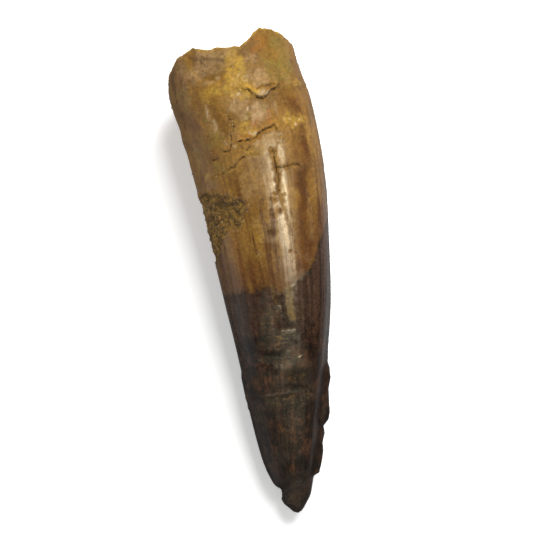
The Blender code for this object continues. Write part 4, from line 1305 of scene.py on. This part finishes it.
def grain_material(look):
    """Matrix grains, from dark brown through sand to pale yellow."""
    material, board, shader, place = new_material("matrix_grains")
    grain = board.group("mineral grain", {"Place": place, "Grain": 4.0})
    tone = board.add("ShaderNodeAttribute", {}, "Fac", attribute_name="tone")
    colour = board.mix(board.ramp(tone, 0.05, 0.55), look.grain_dark, look.grain_sand)
    colour = board.mix(board.ramp(tone, 0.75, 1.0), colour, look.grain_pale)
    colour = board.mix(board.ramp(grain["Tone"], 0.4, 0.65, 0.0, 0.5), colour, look.grain_dark)
    board.feed(colour, shader.inputs["Base Color"])
    board.feed(board.ramp(grain["Height"], 0.3, 0.7, 0.75, 0.95), shader.inputs["Roughness"])
    bump = board.add("ShaderNodeBump", {"Height": grain["Height"], "Distance": 0.00002, "Strength": 1.0})
    board.feed(bump, shader.inputs["Normal"])
    return material


class FOSSIL_OT_make_grains(bpy.types.Operator):
    """Strew the loose grains of matrix over the tooth's broken end, its cracks and its crumbled place"""

    bl_idname = "fossil_tooth.make_grains"
    bl_label = "Make Matrix Grains"

    def execute(self, context):
        look = context.scene.matrix_grains
        skin_surface = bpy.data.meshes.get("fossil_skin")
        if skin_surface is None:
            raise RuntimeError("the grains need the tooth's skin, which hasn't been made")
        material = grain_material(look)
        mesh = grains_mesh(look, skin_surface, material)
        if len(mesh.polygons) == 0:
            raise RuntimeError("no grains were strewn")
        grains = object_from(mesh, material)
        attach(grains, "root")
        return {"FINISHED"}


def studio_floor(settings):
    """A plain pale floor just under the tooth."""
    bpy.ops.mesh.primitive_plane_add(size=settings.floor_size, location=(0, 0, 0))
    floor = bpy.context.object
    floor.name = "studio_floor"
    floor.data.transform(floor.matrix_world)
    floor.location = (0, 0, -FLOOR_DROP)
    material = bpy.data.materials.new("studio_floor")
    material.use_nodes = True
    shader = material.node_tree.nodes["Principled BSDF"]
    shader.inputs["Base Color"].default_value = settings.floor_colour
    shader.inputs["Roughness"].default_value = 0.9
    shader.inputs["Specular IOR Level"].default_value = 0.2
    shader.inputs["Emission Color"].default_value = settings.floor_colour
    shader.inputs["Emission Strength"].default_value = settings.floor_glow
    floor.data.materials.append(material)
    floor.visible_glossy = False


def studio_sky(settings):
    """Soft light from all sides, what the tooth reflects, and a pale backdrop that the camera sees."""
    world = bpy.data.worlds.new("studio_sky")
    bpy.context.scene.world = world
    world.use_nodes = True
    board = Board(world.node_tree)
    background = world.node_tree.nodes["Background"]
    background.inputs["Color"].default_value = (1.0, 1.0, 1.0, 1.0)
    direction = world.node_tree.nodes.new("ShaderNodeSeparateXYZ")
    board.feed(board.add("ShaderNodeTexCoord", {}, "Generated"), direction.inputs[0])
    across, height = direction.outputs[0], direction.outputs[2]
    level = board.math("MULTIPLY", board.ramp(height, -0.55, -0.15), board.ramp(height, 0.65, 0.1))
    wall = board.math("MULTIPLY", level, board.ramp(across, -0.1, -0.7))
    paper = board.math("MULTIPLY", board.ramp(height, -0.3, -0.6), board.ramp(across, 0.2, 0.5))
    reflected = board.math("MULTIPLY_ADD", wall, settings.reflected_wall, settings.reflected_sky)
    reflected = board.math("MULTIPLY_ADD", paper, settings.reflected_paper, reflected)
    strength = settings.sky_strength
    for ray, wanted in (("Is Camera Ray", settings.backdrop), ("Is Glossy Ray", reflected)):
        seen = board.add("ShaderNodeLightPath", {}, ray)
        change = board.math("MULTIPLY", seen, board.math("SUBTRACT", wanted, settings.sky_strength))
        strength = board.math("ADD", change, strength)
    board.feed(strength, background.inputs["Strength"])


def aimed_light(name, power, place, size):
    """A soft area light that faces the tooth, with its second size along the tooth."""
    data = bpy.data.lights.new(name, "AREA")
    data.shape = "RECTANGLE"
    data.size, data.size_y = size
    data.energy = power
    light = bpy.data.objects.new(name, data)
    light.location = place
    back = (Vector(place) - Vector(LIGHT_TARGET)).normalized()
    side = Vector((0, 1, 0)).cross(back).normalized()
    light.rotation_euler = Matrix((side, back.cross(side), back)).transposed().to_euler()
    light.visible_camera = False
    bpy.context.scene.collection.objects.link(light)
    return light


def studio_camera(settings):
    """A long lens that looks straight down, rolled as the tooth leans in the picture."""
    data = bpy.data.cameras.new("camera")
    camera = bpy.data.objects.new("camera", data)
    bpy.context.scene.collection.objects.link(camera)
    camera.location = (*PICTURE_CENTRE, settings.camera_height)
    camera.rotation_euler = (0, 0, -settings.camera_roll)
    data.sensor_width = 36
    data.lens = data.sensor_width * (settings.camera_height - MIDDLE_HEIGHT) / settings.picture_width
    data.clip_start = 0.01
    bpy.context.scene.camera = camera


class FOSSIL_OT_make_studio(bpy.types.Operator):
    """Make the plain pale floor, the soft light and the camera that looks down"""

    bl_idname = "fossil_tooth.make_studio"
    bl_label = "Make Studio"

    def execute(self, context):
        settings = context.scene.fossil_studio
        studio_floor(settings)
        studio_sky(settings)
        gloss = aimed_light("gloss_light", settings.gloss_power, *GLOSS_LIGHT)
        gloss.visible_diffuse = False
        gloss.data.color = GLOSS_COLOUR
        for name, power, light in (("soft_light", settings.soft_power, SOFT_LIGHT),
                                   ("low_fill", settings.fill_power, LOW_FILL)):
            aimed_light(name, power, *light).visible_glossy = False
        studio_camera(settings)
        context.scene.view_settings.view_transform = "Standard"
        return {"FINISHED"}


class FOSSIL_PT_sidebar(bpy.types.Panel):
    """Lists the steps that make the tooth and its studio"""

    bl_idname = "FOSSIL_PT_sidebar"
    bl_label = "Fossil Tooth"
    bl_space_type = "VIEW_3D"
    bl_region_type = "UI"
    bl_category = "Fossil Tooth"

    def draw(self, context):
        layout = self.layout
        for settings, operator in ((context.scene.fossil_skin, FOSSIL_OT_make_skin),
                                   (context.scene.matrix_grains, FOSSIL_OT_make_grains),
                                   (context.scene.fossil_studio, FOSSIL_OT_make_studio)):
            for name in settings.__annotations__:
                layout.prop(settings, name)
            layout.operator(operator.bl_idname)


CLASSES = (FossilSkinSettings, MatrixGrainSettings, StudioSettings, FOSSIL_OT_make_skin,
           FOSSIL_OT_make_grains, FOSSIL_OT_make_studio, FOSSIL_PT_sidebar)


def register():
    for kind in CLASSES:
        bpy.utils.register_class(kind)
    bpy.types.Scene.fossil_skin = bpy.props.PointerProperty(type=FossilSkinSettings)
    bpy.types.Scene.matrix_grains = bpy.props.PointerProperty(type=MatrixGrainSettings)
    bpy.types.Scene.fossil_studio = bpy.props.PointerProperty(type=StudioSettings)


def unregister():
    del bpy.types.Scene.fossil_studio
    del bpy.types.Scene.matrix_grains
    del bpy.types.Scene.fossil_skin
    for kind in reversed(CLASSES):
        bpy.utils.unregister_class(kind)


def main():
    """Make the whole scene."""
    register()
    bpy.ops.fossil_tooth.make_skin()
    bpy.ops.fossil_tooth.make_grains()
    bpy.ops.fossil_tooth.make_studio()


if __name__ == "__main__":
    main()
